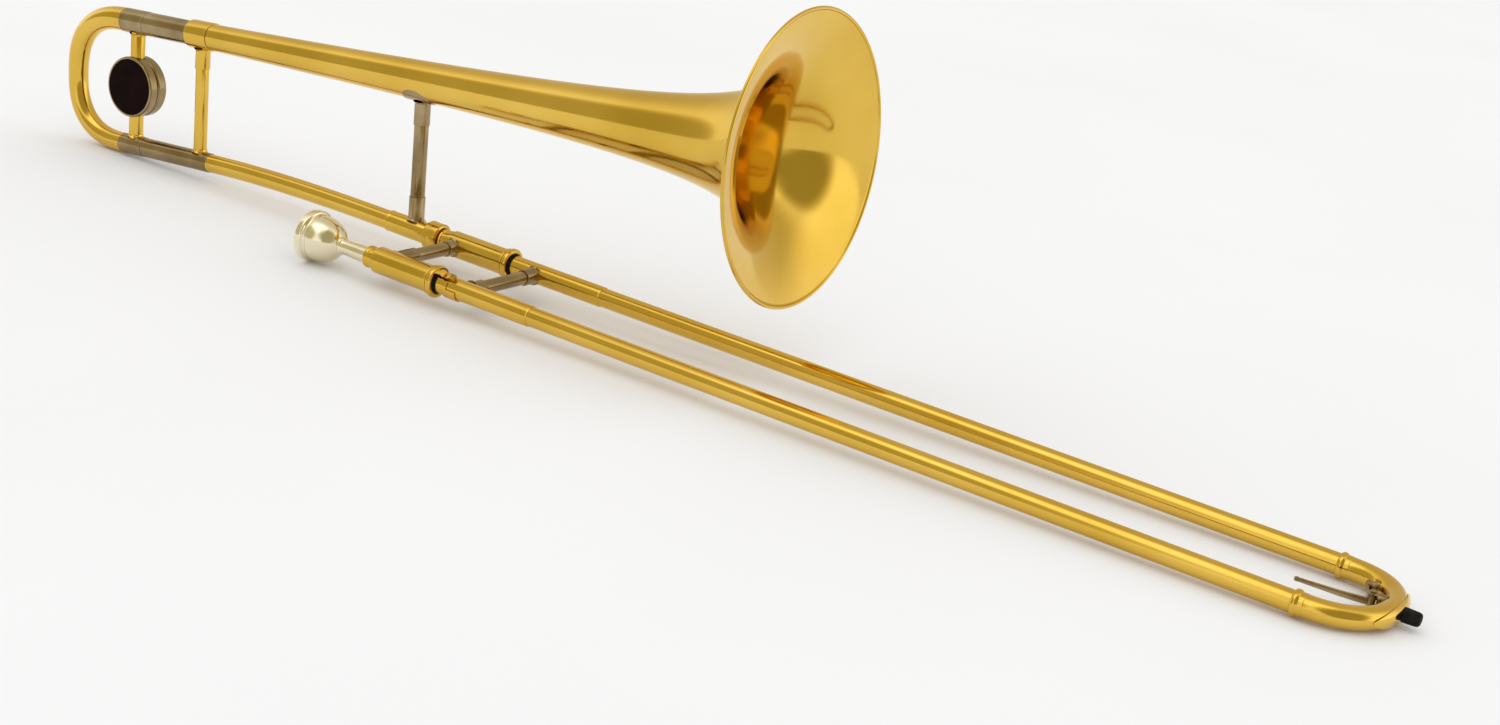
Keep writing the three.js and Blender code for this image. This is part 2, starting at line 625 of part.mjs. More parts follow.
// ---------------------------------------------------------------- mouthpiece
function addMouthpiece() {
  const rear = MOUTHPIECE_RIM_X;
  const shankEnd = rear + 80;
  const outline = [
    [rear + 0.6, 16.2],
    [rear + 0.1, 17.4],
    [rear + 1.4, RIM_R],
    [rear + 6.8, RIM_R],
    [rear + 8.0, 17.6],
    [rear + 12, 17.4],
    [rear + 18, 16.6],
    [rear + 23.5, 14.4],
    [rear + 27.5, 11.2],
    [rear + 30.4, 7.4],
    [rear + 31.2, 6.2],
    [rear + 32.4, 6.9],
    [rear + 34, 6.0],
    [rear + 40, 5.8],
    [rear + 52, 6.2],
    [shankEnd, 5.6],
  ];
  const bore = [
    [rear + 0.6, 14.0],
    [rear + 2.4, 12.7],
    [rear + 12, 11.4],
    [rear + 19, 8.2],
    [rear + 24, 4.4],
    [rear + 27, 3.1],
    [shankEnd, 4.9],
  ];
  addPart('mouthpiece', onSlide(turned(outline, bore), NEAR_Y), 'silver');
}

// ---------------------------------------------------------------- bell
// Outside radius of the bell: a gently tapered stem plus a flare that opens ever faster.
function bellRadius(s) {
  const stem = STEM_TAPER * (s - BELL_START_S);
  const stemAtRim = STEM_TAPER * (BELL_RIM_S - BELL_START_S);
  const flare = (FLARE_REACH / (FLARE_REACH + BELL_RIM_S - s)) ** FLARE_POWER;
  return stem + (BELL_RIM_R - stemAtRim) * flare;
}

// Stations crowd together towards the rim, where the flare turns outwards.
function bellStations(steps) {
  const length = BELL_RIM_S - BELL_START_S;
  return Array.from({ length: steps + 1 }, (_, i) => BELL_RIM_S - length * (1 - i / steps) ** 2.6);
}

const RIM_BEAD_R = 1.3;

function bell() {
  const stations = bellStations(13);
  const outline = stations.map((s) => [s, bellRadius(s)]);
  const lip = outline.length - 1;
  outline[lip] = [BELL_RIM_S, BELL_RIM_R - 2 * RIM_BEAD_R - 0.15];
  outline[lip - 1][1] = Math.min(outline[lip - 1][1], outline[lip][1] - 2);
  const bore = outline.map(([s, radius], k) => {
    const before = outline[Math.max(k - 1, 0)];
    const after = outline[Math.min(k + 1, lip)];
    const run = new THREE.Vector2(after[0] - before[0], after[1] - before[1]).normalize();
    return [s + (k ? BELL_WALL * run.y : 0), radius - BELL_WALL * run.x];
  });
  return turned(outline, bore, BELL_SIDES);
}

function rimBead() {
  const centreR = BELL_RIM_R - RIM_BEAD_R;
  const loop = circle(RIM_BEAD_R, 6).map(([u, v]) => new THREE.Vector2(centreR + u, BELL_RIM_S + v));
  const lathe = new THREE.LatheGeometry([...loop, loop[0]], BELL_SIDES);
  return closed(lathe.rotateZ(-Math.PI / 2));
}

// Everything inside the bell's outer surface, grown by a margin, between two stations.
function bellKeepOut(from, to, margin) {
  return turned([[from, bellRadius(from) + margin], [to, bellRadius(to) + margin]], [], BELL_SIDES);
}

function addBellSection() {
  addPart('bell', onBell(bell()), 'brass');
  addPart('bell_rim', onBell(rimBead()), 'brass');

  const { upper, lower } = TUNING_SLEEVES;
  const socketBore = upper.radius + 0.12;
  const stemBore = bellRadius(BELL_START_S) - 0.2;
  const ferruleFront = BELL_START_S - 0.3;
  const ferrule = turned(
    [[BELL_FERRULE_START_S, BELL_FERRULE_R - 0.35], [BELL_FERRULE_START_S + 0.5, BELL_FERRULE_R - 0.15],
      [ferruleFront - 1.7, BELL_FERRULE_R], [ferruleFront, BELL_FERRULE_R]],
    [[BELL_FERRULE_START_S, socketBore], [TUNING_SLEEVE_FRONT_S + 0.2, socketBore],
      [TUNING_SLEEVE_FRONT_S + 0.6, stemBore], [ferruleFront, stemBore]]);
  addPart('bell_ferrule', onBell(ferrule), 'brass');
  const sleeveRear = TUNING_SPLIT_S + 0.2;
  const upperSleeve = tube(sleeveRear, TUNING_SLEEVE_FRONT_S, upper.radius, upper.bore);
  const lowerSleeve = tube(sleeveRear, NECKPIPE_START_S - 0.2, lower.radius, lower.bore);
  addPart('tuning_sleeve_upper', onBell(upperSleeve), 'nickelSilver');
  addPart('tuning_sleeve_lower', onBell(lowerSleeve, LOWER), 'nickelSilver');

  addPart('neckpipe', neckpipe(), 'brass');
  const neckFerrule = turned(
    [[FERRULE_REAR, 7.9], [FERRULE_REAR + 0.7, FERRULE_R], [NUT_REAR - 0.3, FERRULE_R],
      [NUT_REAR - 0.1, 7.8], [NUT_REAR + 5.9, 7.8]],
    [[FERRULE_REAR, NECKPIPE_R + 0.1], [TENON_REAR - 0.6, NECKPIPE_R + 0.1], [TENON_REAR - 0.4, 7.2],
      [NUT_REAR + 5.9, 7.2]]);
  addPart('neckpipe_ferrule', onSlide(neckFerrule, FAR_Y), 'brass');

  addRearBrace();
  addFrontBrace();
}

// Follows the lower leg, then levels out to meet the slide's tenon.
function neckpipe() {
  const start = new THREE.Vector3(NECKPIPE_START_S, 0, LOWER).applyMatrix4(bellFrame);
  const arcLength = (NECKPIPE_EASE * -start.z) / Math.tan(BELL_TILT);
  const line = [];
  const steps = 6;
  for (let i = 0; i <= steps; i += 1) {
    const t = i / steps;
    line.push(new THREE.Vector3(start.x + arcLength * t, 0, start.z * (1 - t) ** NECKPIPE_EASE));
  }
  line.push(new THREE.Vector3(TENON_REAR - 0.8, 0, 0));
  return bentTube(line, new THREE.Vector3(0, 1, 0), () => NECKPIPE_R, TUBE_WALL);
}

function addRearBrace() {
  const [from, to] = [REAR_BRACE_S - 12, REAR_BRACE_S + 12];
  const lowerKeepOut = tube(from, to, TUNING_SLEEVES.lower.radius + GAP).translate(0, 0, LOWER);
  const upperKeepOut = tube(from, to, BELL_FERRULE_R + GAP);
  const socketEnd = 27.4;
  const rod = hanging(tube(20, LEG_SPACING - 4, 5.4, 4.6, SMALL_SIDES), REAR_BRACE_S);
  const socket = hanging(turned(
    [[6, 6.1], [socketEnd - 0.6, 6.1], [socketEnd, 5.8]],
    [[6, 5.55], [socketEnd, 5.55]], SMALL_SIDES), REAR_BRACE_S);
  addPart('rear_brace_tube', onBell(cut(rod, lowerKeepOut)), 'brass');
  addPart('rear_brace_socket', onBell(cut(socket, upperKeepOut)), 'brass');
}

const FLANGE_HALF_LENGTH = 15;
const FLANGE_HALF_WIDTH = 14.6;

function addFrontBrace() {
  const s = FRONT_BRACE_S;
  const flangeThickness = 0.9;
  const socketR = 6.3;
  const rodR = 5.65;
  const foot = LEG_SPACING + 12.8;      // the neckpipe has levelled out here, so it lies lower than the leg
  const rod = tube(28, 96, rodR, rodR - 0.8, SMALL_SIDES);
  const upper = turned([[10, socketR], [33.6, socketR], [34.1, socketR - 0.3]],
    [[10, rodR + 0.12], [34.1, rodR + 0.12]], SMALL_SIDES);
  const lower = turned([[89.9, socketR - 0.3], [90.4, socketR], [foot, socketR]],
    [[89.9, rodR + 0.12], [foot, rodR + 0.12]], SMALL_SIDES);
  const bellSide = onBell(bellKeepOut(s - 25, s + 25, flangeThickness + GAP));
  const neckSide = tube(-148, -95, FERRULE_R + GAP);
  addPart('front_brace_tube', onBell(hanging(rod, s)), 'nickelSilver');
  addPart('front_brace_socket_upper', cut(onBell(hanging(upper, s)), bellSide), 'nickelSilver');
  addPart('front_brace_socket_lower', cut(onBell(hanging(lower, s)), neckSide), 'nickelSilver');

  const reach = FLANGE_HALF_LENGTH + 1;
  const outside = [s - reach, s + reach].map((at) => [at, bellRadius(at) + 0.15 + flangeThickness]);
  const inside = [s - reach, s + reach].map((at) => [at, bellRadius(at) + 0.15]);
  const shell = turned(outside, inside, BELL_SIDES);
  const oval = hanging(tube(4, 24, 1, 0, 24).scale(1, FLANGE_HALF_WIDTH, FLANGE_HALF_LENGTH), s);
  addPart('front_brace_flange', onBell(overlap(shell, oval)), 'nickelSilver');
}

function addLockNut() {
  const outline = [[NUT_REAR, NUT_R - 0.7], [NUT_REAR + 0.7, NUT_R]];
  for (let x = NUT_REAR + 2; x < NUT_REAR + 5; x += 1.4) {
    outline.push([x, NUT_R], [x + 0.35, NUT_R - 0.35], [x + 0.7, NUT_R]);
  }
  outline.push([NUT_FRONT - 1.4, NUT_R], [NUT_FRONT, NUT_R - 1.6]);
  addPart('lock_nut', onSlide(turned(outline, [[NUT_REAR, 8.0], [NUT_FRONT, 8.0]]), FAR_Y), 'brass');
}

// ---------------------------------------------------------------- tuning slide
const LEGS = {
  upper: { height: UPPER, ferruleR: 10.0, legR: 9.4, bowR: 10.0, legEnd: -361 },
  lower: { height: LOWER, ferruleR: 8.2, legR: 7.5, bowR: 8.2, legEnd: -355 },
};

function addTuningSlide() {
  Object.entries(LEGS).forEach(([name, leg]) => {
    const ferrule = tube(BOW_START_S + 0.2, TUNING_SPLIT_S, leg.ferruleR, leg.legR + 0.1);
    const pipe = tube(BOW_START_S + 2, leg.legEnd, leg.legR, leg.legR - 0.4);
    addPart(`bow_ferrule_${name}`, onBell(ferrule, leg.height), 'nickelSilver');
    addPart(`tuning_leg_${name}`, onBell(pipe, leg.height), 'nickelSilver');
  });
  addPart('tuning_bow', onBell(tuningBow()), 'brass');
  addWeight();
}

function tuningBow() {
  const steps = 14;
  const lead = 2;                       // short straight end inside each ferrule's mouth
  const bendStart = BOW_START_S - lead;
  const bend = squareBend(bendStart - BOW_APEX_S, LEG_SPACING / 2, BOW_SQUARENESS, steps);
  const line = [[-lead, LOWER / 2], ...bend, [-lead, -LOWER / 2]]
    .map(([back, up]) => new THREE.Vector3(bendStart - back, 0, LOWER / 2 + up));
  const radius = (k) => {
    const pastApex = Math.max(0, (2 * k) / (line.length - 1) - 1);
    return THREE.MathUtils.lerp(LEGS.lower.bowR, LEGS.upper.bowR, pastApex);
  };
  return bentTube(line, new THREE.Vector3(0, 1, 0), radius, TUBE_WALL);
}

const WEIGHT_R = 25.2;
const WEIGHT_HALF_THICKNESS = 9.1;
const WEIGHT_DROP = 53.6;               // below the bell's axis

function addWeight() {
  const s = WEIGHT_BRACE_S;
  const rod = hanging(tube(4, LEG_SPACING - 4, 5.9, 5.0, SMALL_SIDES), s);
  const upperKeepOut = tube(s - 12, s + 12, LEGS.upper.ferruleR + GAP);
  const lowerKeepOut = tube(s - 12, s + 12, LEGS.lower.ferruleR + GAP).translate(0, 0, LOWER);
  addPart('weight_brace', onBell(cut(rod, upperKeepOut, lowerKeepOut)), 'brass');

  const brace = hanging(tube(0, LEG_SPACING, 6.1, 0, SMALL_SIDES), s);
  const edge = WEIGHT_HALF_THICKNESS;
  const recessR = WEIGHT_R - 2;
  const discOutline = [[0.4, WEIGHT_R - 1.1], [1.2, WEIGHT_R - 0.3], [edge - 3.2, WEIGHT_R],
    [edge - 0.8, WEIGHT_R], [edge, WEIGHT_R - 0.8]];
  const recess = tube(edge - 1.6, edge + 1, recessR, 0, DISC_SIDES);
  const halfDisc = cut(turned(discOutline, [], DISC_SIDES), recess);
  const plate = tube(edge - 1.45, edge - 0.3, recessR - 0.2, 0, DISC_SIDES);
  const facing = (geometry, sign) => geometry.clone()
    .rotateZ((sign * Math.PI) / 2).translate(s, 0, -WEIGHT_DROP);
  addPart('weight_half_front', onBell(cut(facing(halfDisc, -1), brace)), 'nickelSilver');
  addPart('weight_half_back', onBell(cut(facing(halfDisc, 1), brace)), 'nickelSilver');
  addPart('weight_plate_front', onBell(facing(plate, -1)), 'blackEnamel');
  addPart('weight_plate_back', onBell(facing(plate, 1)), 'blackEnamel');
}

// ---------------------------------------------------------------- assembly
addInnerSlide();
addSlideLock();
addOuterSlide();
addMouthpiece();
addBellSection();
addLockNut();
addTuningSlide();

// Pitch the trombone so that it rests on its bow and crook, then put the origin under its middle.
group.children.forEach((mesh) => mesh.geometry.rotateY(REST_PITCH));
const box = new THREE.Box3().setFromObject(group);
const middle = box.getCenter(new THREE.Vector3());
group.children.forEach((mesh) => mesh.geometry.translate(-middle.x, -middle.y, -box.min.z));

export default group;
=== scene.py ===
"""Looks of a straight tenor trombone: smooth turned, swept and soldered pieces over the CAD frame.

Lengths are millimetres in the working frame until PLACE turns them into the frame's metres.
Working frame: X forwards along the hand slide, Y from the mouthpiece side to the bell side, Z up.
x = 0 is the hand brace of the outer slide, y = 0 and z = 0 the bell-side slide tube.
"""

import math

import bmesh
import bpy
from mathutils import Matrix, Vector


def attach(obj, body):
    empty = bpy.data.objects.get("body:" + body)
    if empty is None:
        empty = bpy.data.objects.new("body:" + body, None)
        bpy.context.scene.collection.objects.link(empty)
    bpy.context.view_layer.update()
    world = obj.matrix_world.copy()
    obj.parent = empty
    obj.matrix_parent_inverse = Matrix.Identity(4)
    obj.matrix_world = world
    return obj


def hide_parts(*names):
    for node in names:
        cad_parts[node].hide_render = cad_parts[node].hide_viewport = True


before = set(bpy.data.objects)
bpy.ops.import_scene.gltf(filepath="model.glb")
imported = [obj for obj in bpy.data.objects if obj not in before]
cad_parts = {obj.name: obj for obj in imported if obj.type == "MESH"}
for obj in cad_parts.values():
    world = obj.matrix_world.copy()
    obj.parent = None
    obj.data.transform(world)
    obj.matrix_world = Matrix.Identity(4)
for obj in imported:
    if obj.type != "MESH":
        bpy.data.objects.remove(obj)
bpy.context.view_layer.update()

# ---------------------------------------------------------------- driving dimensions
NEAR_Y = -87.5                     # mouthpiece-side slide tube
FAR_Y = 0.0                        # bell-side slide tube
MIDDLE_Y = (NEAR_Y + FAR_Y) / 2
OUTER_TUBE_R = 7.2
OUTER_TUBE_BORE = 6.8
INNER_TUBE_R = 6.6
INNER_TUBE_BORE = 6.3
INNER_TUBE_FRONT = 622.0
STOCKING_R = 6.68                  # the inner tubes are a little thicker towards their ends
STOCKING_LENGTH = 110
FIT = 0.02                         # how little a bore and the tube inside it differ
SLEEVE_R = 7.75
SLEEVE_START = -22.0
SLEEVE_END = 61.0
BARREL_FRONT = -24.0
BARREL_REAR = -82.5
BARREL_R = 10.15
BARREL_NECK_R = 9.4
BEAD_R = 11.3
FRONT_RING_R = 12.2                # flange or lock ring over the barrel's neck
CORK_LIP_R = 8.0                   # what shows of the cork ahead of the barrel
BARREL_BORE = 8.9
RECEIVER_REAR = -91.5
RECEIVER_FRONT = -62.5
LEADPIPE_FRONT = 120
INNER_BRACE_X = -75.9
CROOK_FERRULE_REAR = 632.0
CROOK_START = 638.8
CROOK_DEPTH = 40.5
CROOK_SQUARENESS = 2.24
CROOK_R = 7.5
CROOK_STEPS = 72
GUARD_TRIM = 21                    # steps of the crook's line that the guard leaves bare at each end
GUARD_OUT = 1.2
GUARD_HALF_ANGLE = 56.0
BUMPER_FRONT = 698.0
KEY_HINGE = Vector((666.5, -43.0, 0.0))
KEY_TIP = Vector((621.5, -49.5, 0.0))
MOUTHPIECE_RIM_X = -150.0

BELL_TILT = math.radians(5.08)
BELL_AXIS_HEIGHT = 127.6
LEG_SPACING = 103.5
BELL_RIM_S = 207.4                 # stations s run along the bell's axis, forwards
BELL_RIM_R = 106.0
RIM_BEAD_R = 1.3
BELL_START_S = -351.0
BELL_WALL = 0.6
BENT_WALL = 0.5                    # of the crook, the neckpipe and the tuning bow
FLARE_REACH = 11.1
FLARE_POWER = 0.573
STEM_TAPER = 0.0054
REAR_BRACE_S = -363.2
REAR_SOCKET_END = 27.4             # below the bell's axis, like the next two
FRONT_BRACE_S = -131.8
FRONT_SOCKET_END = 34.1
FRONT_FOOT_TOP = 89.9
FLANGE_HALF_LENGTH = 15.0
FLANGE_HALF_WIDTH = 18.2           # measured round the stem
FLANGE_SQUARENESS = 2.4
FLANGE_THICKNESS = 0.95
WEIGHT_BRACE_S = -437.3
BOW_START_S = -450.3
BOW_APEX_S = -507.1
BOW_SQUARENESS = 2.48
TUNING_SPLIT_S = -425.0
BELL_FERRULE_START_S = -375.5
BELL_FERRULE_R = 11.6
TUNING_SLEEVE_R = {"upper": 9.9, "lower": 8.0}
TUNING_LEG_R = {"upper": 9.4, "lower": 7.5}
BOW_R = {"upper": 10.0, "lower": 8.2}
NECKPIPE_START_S = -351.0
NECKPIPE_R = 7.5
NECKPIPE_EASE = 2.4
FERRULE_REAR = -147.0              # the neckpipe's ferrule
FERRULE_R = 8.4
TENON_REAR = -136.0
NUT_REAR = -106.5
NUT_FRONT = -93.5
NUT_R = 11.5
WEIGHT_R = 25.2
WEIGHT_HALF_THICKNESS = 9.1
WEIGHT_DROP = 53.6                 # its centre below the bell's axis

REST_PITCH = math.radians(0.83)                # how it leans at rest, on its bow and its crook
SHIFT = Vector((-94.6334, 0.65, 17.7536))      # centres the part's bounding box over the origin
SIDES = 72
SMALL_SIDES = 40
BELL_SIDES = 160
WEIGHT_SIDES = 112
MOUTHPIECE_SIDES = 96
BOW_STEPS = 96
WELD_DISTANCE = 1e-7               # metres
SHARP_ANGLE = math.radians(42)     # steeper edges than this are shaded sharp

PLACE = Matrix.Scale(0.001, 4) @ Matrix.Translation(SHIFT) @ Matrix.Rotation(REST_PITCH, 4, "Y")
BELL = Matrix.Translation((0, 0, BELL_AXIS_HEIGHT)) @ Matrix.Rotation(-BELL_TILT, 4, "Y")
UPPER = Matrix.Identity(4)
LOWER = Matrix.Translation((0, 0, -LEG_SPACING))
NEAR = Matrix.Translation((0, NEAR_Y, 0))
FAR = Matrix.Translation((0, FAR_Y, 0))
AXIS_Y = Vector((0, 1, 0))
AXIS_Z = Vector((0, 0, 1))


# ---------------------------------------------------------------- materials
class Look:
    """A Principled material with small helpers for its noise, ramps and bump."""

    def __init__(self, name, **sockets):
        self.material = bpy.data.materials.new(name)
        self.material.use_nodes = True
        self.nodes = self.material.node_tree.nodes
        self.links = self.material.node_tree.links
        self.shader = self.nodes["Principled BSDF"]
        self.place = self.nodes.new("ShaderNodeTexCoord")
        for socket, value in sockets.items():
            self.shader.inputs[socket.replace("_", " ")].default_value = value

    def noise(self, scale, detail=4.0, stretch=(1, 1, 1)):
        mapping = self.nodes.new("ShaderNodeMapping")
        mapping.inputs["Scale"].default_value = stretch
        texture = self.nodes.new("ShaderNodeTexNoise")
        texture.inputs["Scale"].default_value = scale
        texture.inputs["Detail"].default_value = detail
        self.links.new(self.place.outputs["Object"], mapping.inputs["Vector"])
        self.links.new(mapping.outputs["Vector"], texture.inputs["Vector"])
        return texture.outputs["Fac"]

    def ramp(self, factor, *stops):
        ramp = self.nodes.new("ShaderNodeValToRGB")
        elements = ramp.color_ramp.elements
        elements[0].position, elements[0].color = stops[0]
        elements[1].position, elements[1].color = stops[-1]
        for position, colour in stops[1:-1]:
            elements.new(position).color = colour
        self.links.new(factor, ramp.inputs["Fac"])
        return ramp.outputs["Color"]

    def paint(self, colour):
        self.links.new(colour, self.shader.inputs["Base Color"])

    def roughness(self, factor, low, high):
        spread = self.nodes.new("ShaderNodeMapRange")
        spread.inputs["From Min"].default_value = 0.3
        spread.inputs["From Max"].default_value = 0.7
        spread.inputs["To Min"].default_value = low
        spread.inputs["To Max"].default_value = high
        self.links.new(factor, spread.inputs["Value"])
        self.links.new(spread.outputs["Result"], self.shader.inputs["Roughness"])

    def bump(self, height, strength, distance):
        bump = self.nodes.new("ShaderNodeBump")
        bump.inputs["Strength"].default_value = strength
        bump.inputs["Distance"].default_value = distance
        self.links.new(height, bump.inputs["Height"])
        self.links.new(bump.outputs["Normal"], self.shader.inputs["Normal"])


def shade(red, green, blue):
    return (red, green, blue, 1.0)


def lacquered_brass():
    look = Look("lacquered_brass", Metallic=1.0)
    tint = look.noise(9.0, detail=5.0)
    look.paint(look.ramp(
        tint,
        (0.3, shade(0.67, 0.42, 0.055)),
        (0.52, shade(0.76, 0.49, 0.083)),
        (0.72, shade(0.82, 0.55, 0.11))))
    look.roughness(look.noise(60.0, detail=6.0, stretch=(0.25, 1, 1)), 0.07, 0.15)
    look.bump(look.noise(900.0, detail=2.0, stretch=(0.15, 1, 1)), 0.05, 0.00002)
    return look.material


def nickel_silver():
    look = Look("nickel_silver", Metallic=1.0)
    tint = look.noise(35.0, detail=5.0)
    look.paint(look.ramp(
        tint,
        (0.3, shade(0.25, 0.175, 0.08)),
        (0.55, shade(0.35, 0.255, 0.13)),
        (0.75, shade(0.44, 0.335, 0.19))))
    look.roughness(look.noise(120.0, detail=6.0, stretch=(0.3, 1, 1)), 0.13, 0.25)
    look.bump(look.noise(1400.0, detail=2.0, stretch=(0.1, 1, 1)), 0.06, 0.00002)
    return look.material


def silver_plate():
    look = Look("silver_plate", Metallic=1.0)
    tint = look.noise(45.0, detail=4.0)
    look.paint(look.ramp(tint, (0.3, shade(0.80, 0.71, 0.50)), (0.7, shade(0.90, 0.83, 0.64))))
    look.roughness(look.noise(160.0, detail=5.0), 0.08, 0.16)
    look.bump(look.noise(1200.0, detail=2.0, stretch=(0.2, 1, 1)), 0.04, 0.00002)
    return look.material


def black_rubber():
    look = Look("black_rubber", Specular_IOR_Level=0.12)
    tint = look.noise(300.0, detail=6.0)
    look.paint(look.ramp(tint, (0.3, shade(0.004, 0.004, 0.004)), (0.7, shade(0.014, 0.013, 0.012))))
    look.roughness(look.noise(500.0), 0.5, 0.8)
    look.bump(look.noise(2500.0, detail=3.0), 0.35, 0.00008)
    return look.material


def black_enamel():
    look = Look("black_enamel", Specular_IOR_Level=0.03)
    tint = look.noise(60.0, detail=6.0)
    look.paint(look.ramp(tint, (0.3, shade(0.004, 0.0006, 0.0006)), (0.7, shade(0.010, 0.0015, 0.0015))))
    look.roughness(look.noise(200.0), 0.25, 0.42)
    look.bump(look.noise(700.0, detail=4.0), 0.12, 0.00005)
    return look.material


def natural_cork():
    look = Look("natural_cork")
    grain = look.noise(1500.0, detail=6.0)
    look.paint(look.ramp(
        grain,
        (0.35, shade(0.16, 0.08, 0.035)),
        (0.5, shade(0.42, 0.25, 0.12)),
        (0.7, shade(0.60, 0.40, 0.22))))
    look.roughness(grain, 0.75, 0.95)
    look.bump(grain, 0.6, 0.0002)
    return look.material


LOOKS = {
    "brass": lacquered_brass(),
    "nickel_silver": nickel_silver(),
    "silver_plate": silver_plate(),
    "black_rubber": black_rubber(),
    "black_enamel": black_enamel(),
    "key_cork": natural_cork(),
}


# ---------------------------------------------------------------- shapes
# A shape is a list of points and a list of faces. Outlines are (x, radius) pairs running forwards.
def softened(outline, radius, closed=False):
    """Rounds every corner of an outline, so that edges catch the light."""
    points = [Vector(p) for p in outline]
    count = len(points)
    rounded = []
    for k, corner in enumerate(points):
        if not closed and k in (0, count - 1):
            rounded.append(corner)
            continue
        before = points[k - 1] - corner
        after = points[(k + 1) % count] - corner
        if before.length < 1e-6 or after.length < 1e-6 or before.angle(after) > math.radians(172):
            rounded.append(corner)
            continue
        start = corner + before.normalized() * min(radius, before.length * 0.45)
        end = corner + after.normalized() * min(radius, after.length * 0.45)
        for t in (0.0, 0.33, 0.67, 1.0):
            rounded.append(start * (1 - t) ** 2 + corner * 2 * t * (1 - t) + end * t ** 2)
    return rounded


def skin(rings, closed=False):
    """Joins neighbouring rings of points. Closed joins the last to the first, else both ends are capped."""
    points = [point for ring in rings for point in ring]
    count, rows = len(rings[0]), len(rings)
    faces = []
    for k in range(rows if closed else rows - 1):
        here, there = k * count, (k + 1) % rows * count
        for i in range(count):
            j = (i + 1) % count
            faces.append((here + i, here + j, there + j, there + i))
    if not closed:
        faces.append(tuple(range(count))[::-1])
        faces.append(tuple(range((rows - 1) * count, rows * count)))
    return points, faces


def ring_at(x, radius, sides):
    turn = 2 * math.pi / sides
    return [Vector((x, radius * math.cos(turn * i), radius * math.sin(turn * i))) for i in range(sides)]


def turned(outline, bore=(), sides=SIDES, edge=0.25):
    """A piece turned about X: solid without a bore, else a closed wall between outline and bore."""
    if bore:
        loop = softened([*outline, *reversed(bore)], edge, closed=True)
        return skin([ring_at(x, r, sides) for x, r in loop], closed=True)
    ends = [(outline[0][0], outline[0][1] * 0.5), *outline, (outline[-1][0], outline[-1][1] * 0.5)]
    return skin([ring_at(x, r, sides) for x, r in softened(ends, edge)])


def pipe(start, end, radius, bore, sides=SIDES):
    return turned([(start, radius), (end, radius)], [(start, bore), (end, bore)], sides, edge=0.2)


def moved(shape, *matrices):
    points, faces = shape
    matrix = Matrix.Identity(4)
    for step in matrices:
        matrix = matrix @ step
    return [matrix @ point for point in points], faces


def rings_along(line, side, section):
    """Rings square to a flat centre line; section(k) gives (outwards, sideways) pairs."""
    rings = []
    for k, centre in enumerate(line):
        forward = (line[min(k + 1, len(line) - 1)] - line[max(k - 1, 0)]).normalized()
        outward = forward.cross(side).normalized()
        rings.append([centre + outward * u + side * v for u, v in section(k)])
    return rings


def circle(radius, sides):
    turn = 2 * math.pi / sides
    return [(radius * math.cos(turn * i), radius * math.sin(turn * i)) for i in range(sides)]


def bent_pipe(line, side, radius_at):
    """A tube along a flat centre line; radius_at(k) is its outside radius at the line's point k."""
    outside = rings_along(line, side, lambda k: circle(radius_at(k), SIDES))
    inside = rings_along(line, side, lambda k: circle(radius_at(k) - BENT_WALL, SIDES))
    return skin([*outside, *reversed(inside)], closed=True)


def square_bend(depth, half_width, squareness, steps):
    """The centre line of a U bend as (forward, sideways) pairs from one leg to the other."""
    line = []
    for i in range(steps + 1):
        angle = math.pi * (i / steps - 0.5)
        forward, sideways = abs(math.cos(angle)), abs(math.sin(angle))
        spread = (forward / depth) ** squareness + (sideways / half_width) ** squareness
        reach = spread ** (-1 / squareness)
        line.append((reach * forward, reach * math.sin(angle)))
    return line


def socket(seat_r, length, radius, bore, flare=1.3):
    """A socket standing along +X on a tube of radius seat_r that runs along Z, with a solder fillet."""
    def seat(point):
        return math.sqrt(max(seat_r ** 2 - point.z ** 2, 0.0))

    rings = []
    fillet_steps = 6
    for i in range(fillet_steps + 1):
        t = i / fillet_steps
        ring = ring_at(0, radius + flare * (1 - t) ** 2.2, SMALL_SIDES)
        lift = flare * 1.5 * t - 0.15
        rings.append([Vector((seat(p) + lift, p.y, p.z)) for p in ring])
    end = seat_r + length
    for x, r in ((end - 0.5, radius), (end - 0.15, radius - 0.08), (end, radius - 0.35), (end, bore)):
        rings.append(ring_at(x, r, SMALL_SIDES))
    bottom = ring_at(0, bore, SMALL_SIDES)
    rings.append([Vector((seat(p) - 0.15, p.y, p.z)) for p in bottom])
    return skin(rings, closed=True)


def arc_block(start, end, inner, outer, from_deg, to_deg):
    """A sector of a ring about X, between two angles counted from +Y towards +Z."""
    steps = max(6, round((to_deg - from_deg) / 4))
    angles = [math.radians(from_deg + (to_deg - from_deg) * i / steps) for i in range(steps + 1)]
    corners = softened([(start, inner), (end, inner), (end, outer), (start, outer)], 0.3, closed=True)
    rings = [[Vector((x, r * math.cos(a), r * math.sin(a))) for x, r in corners] for a in angles]
    return skin(rings)


def bar(line, side, widths, thickness):
    """A flat bar with rounded edges along a centre line; widths run along `side`."""
    def section(k):
        half, flat = widths[k] / 2, thickness / 2
        return softened([(-flat, -half), (flat, -half), (flat, half), (-flat, half)], flat * 0.7, closed=True)

    return skin(rings_along(line, side, section))


def curve_through(points):
    """A smooth line through a few points."""
    steps = 8
    ends = [points[0] * 2 - points[1], *points, points[-1] * 2 - points[-2]]
    line = []
    for a, b, c, d in zip(ends, ends[1:], ends[2:], ends[3:]):
        for i in range(steps):
            t = i / steps
            square = a * 2 - b * 5 + c * 4 - d
            cube = b * 3 - a - c * 3 + d
            line.append(0.5 * (b * 2 + (c - a) * t + square * t ** 2 + cube * t ** 3))
    return [*line, points[-1]]


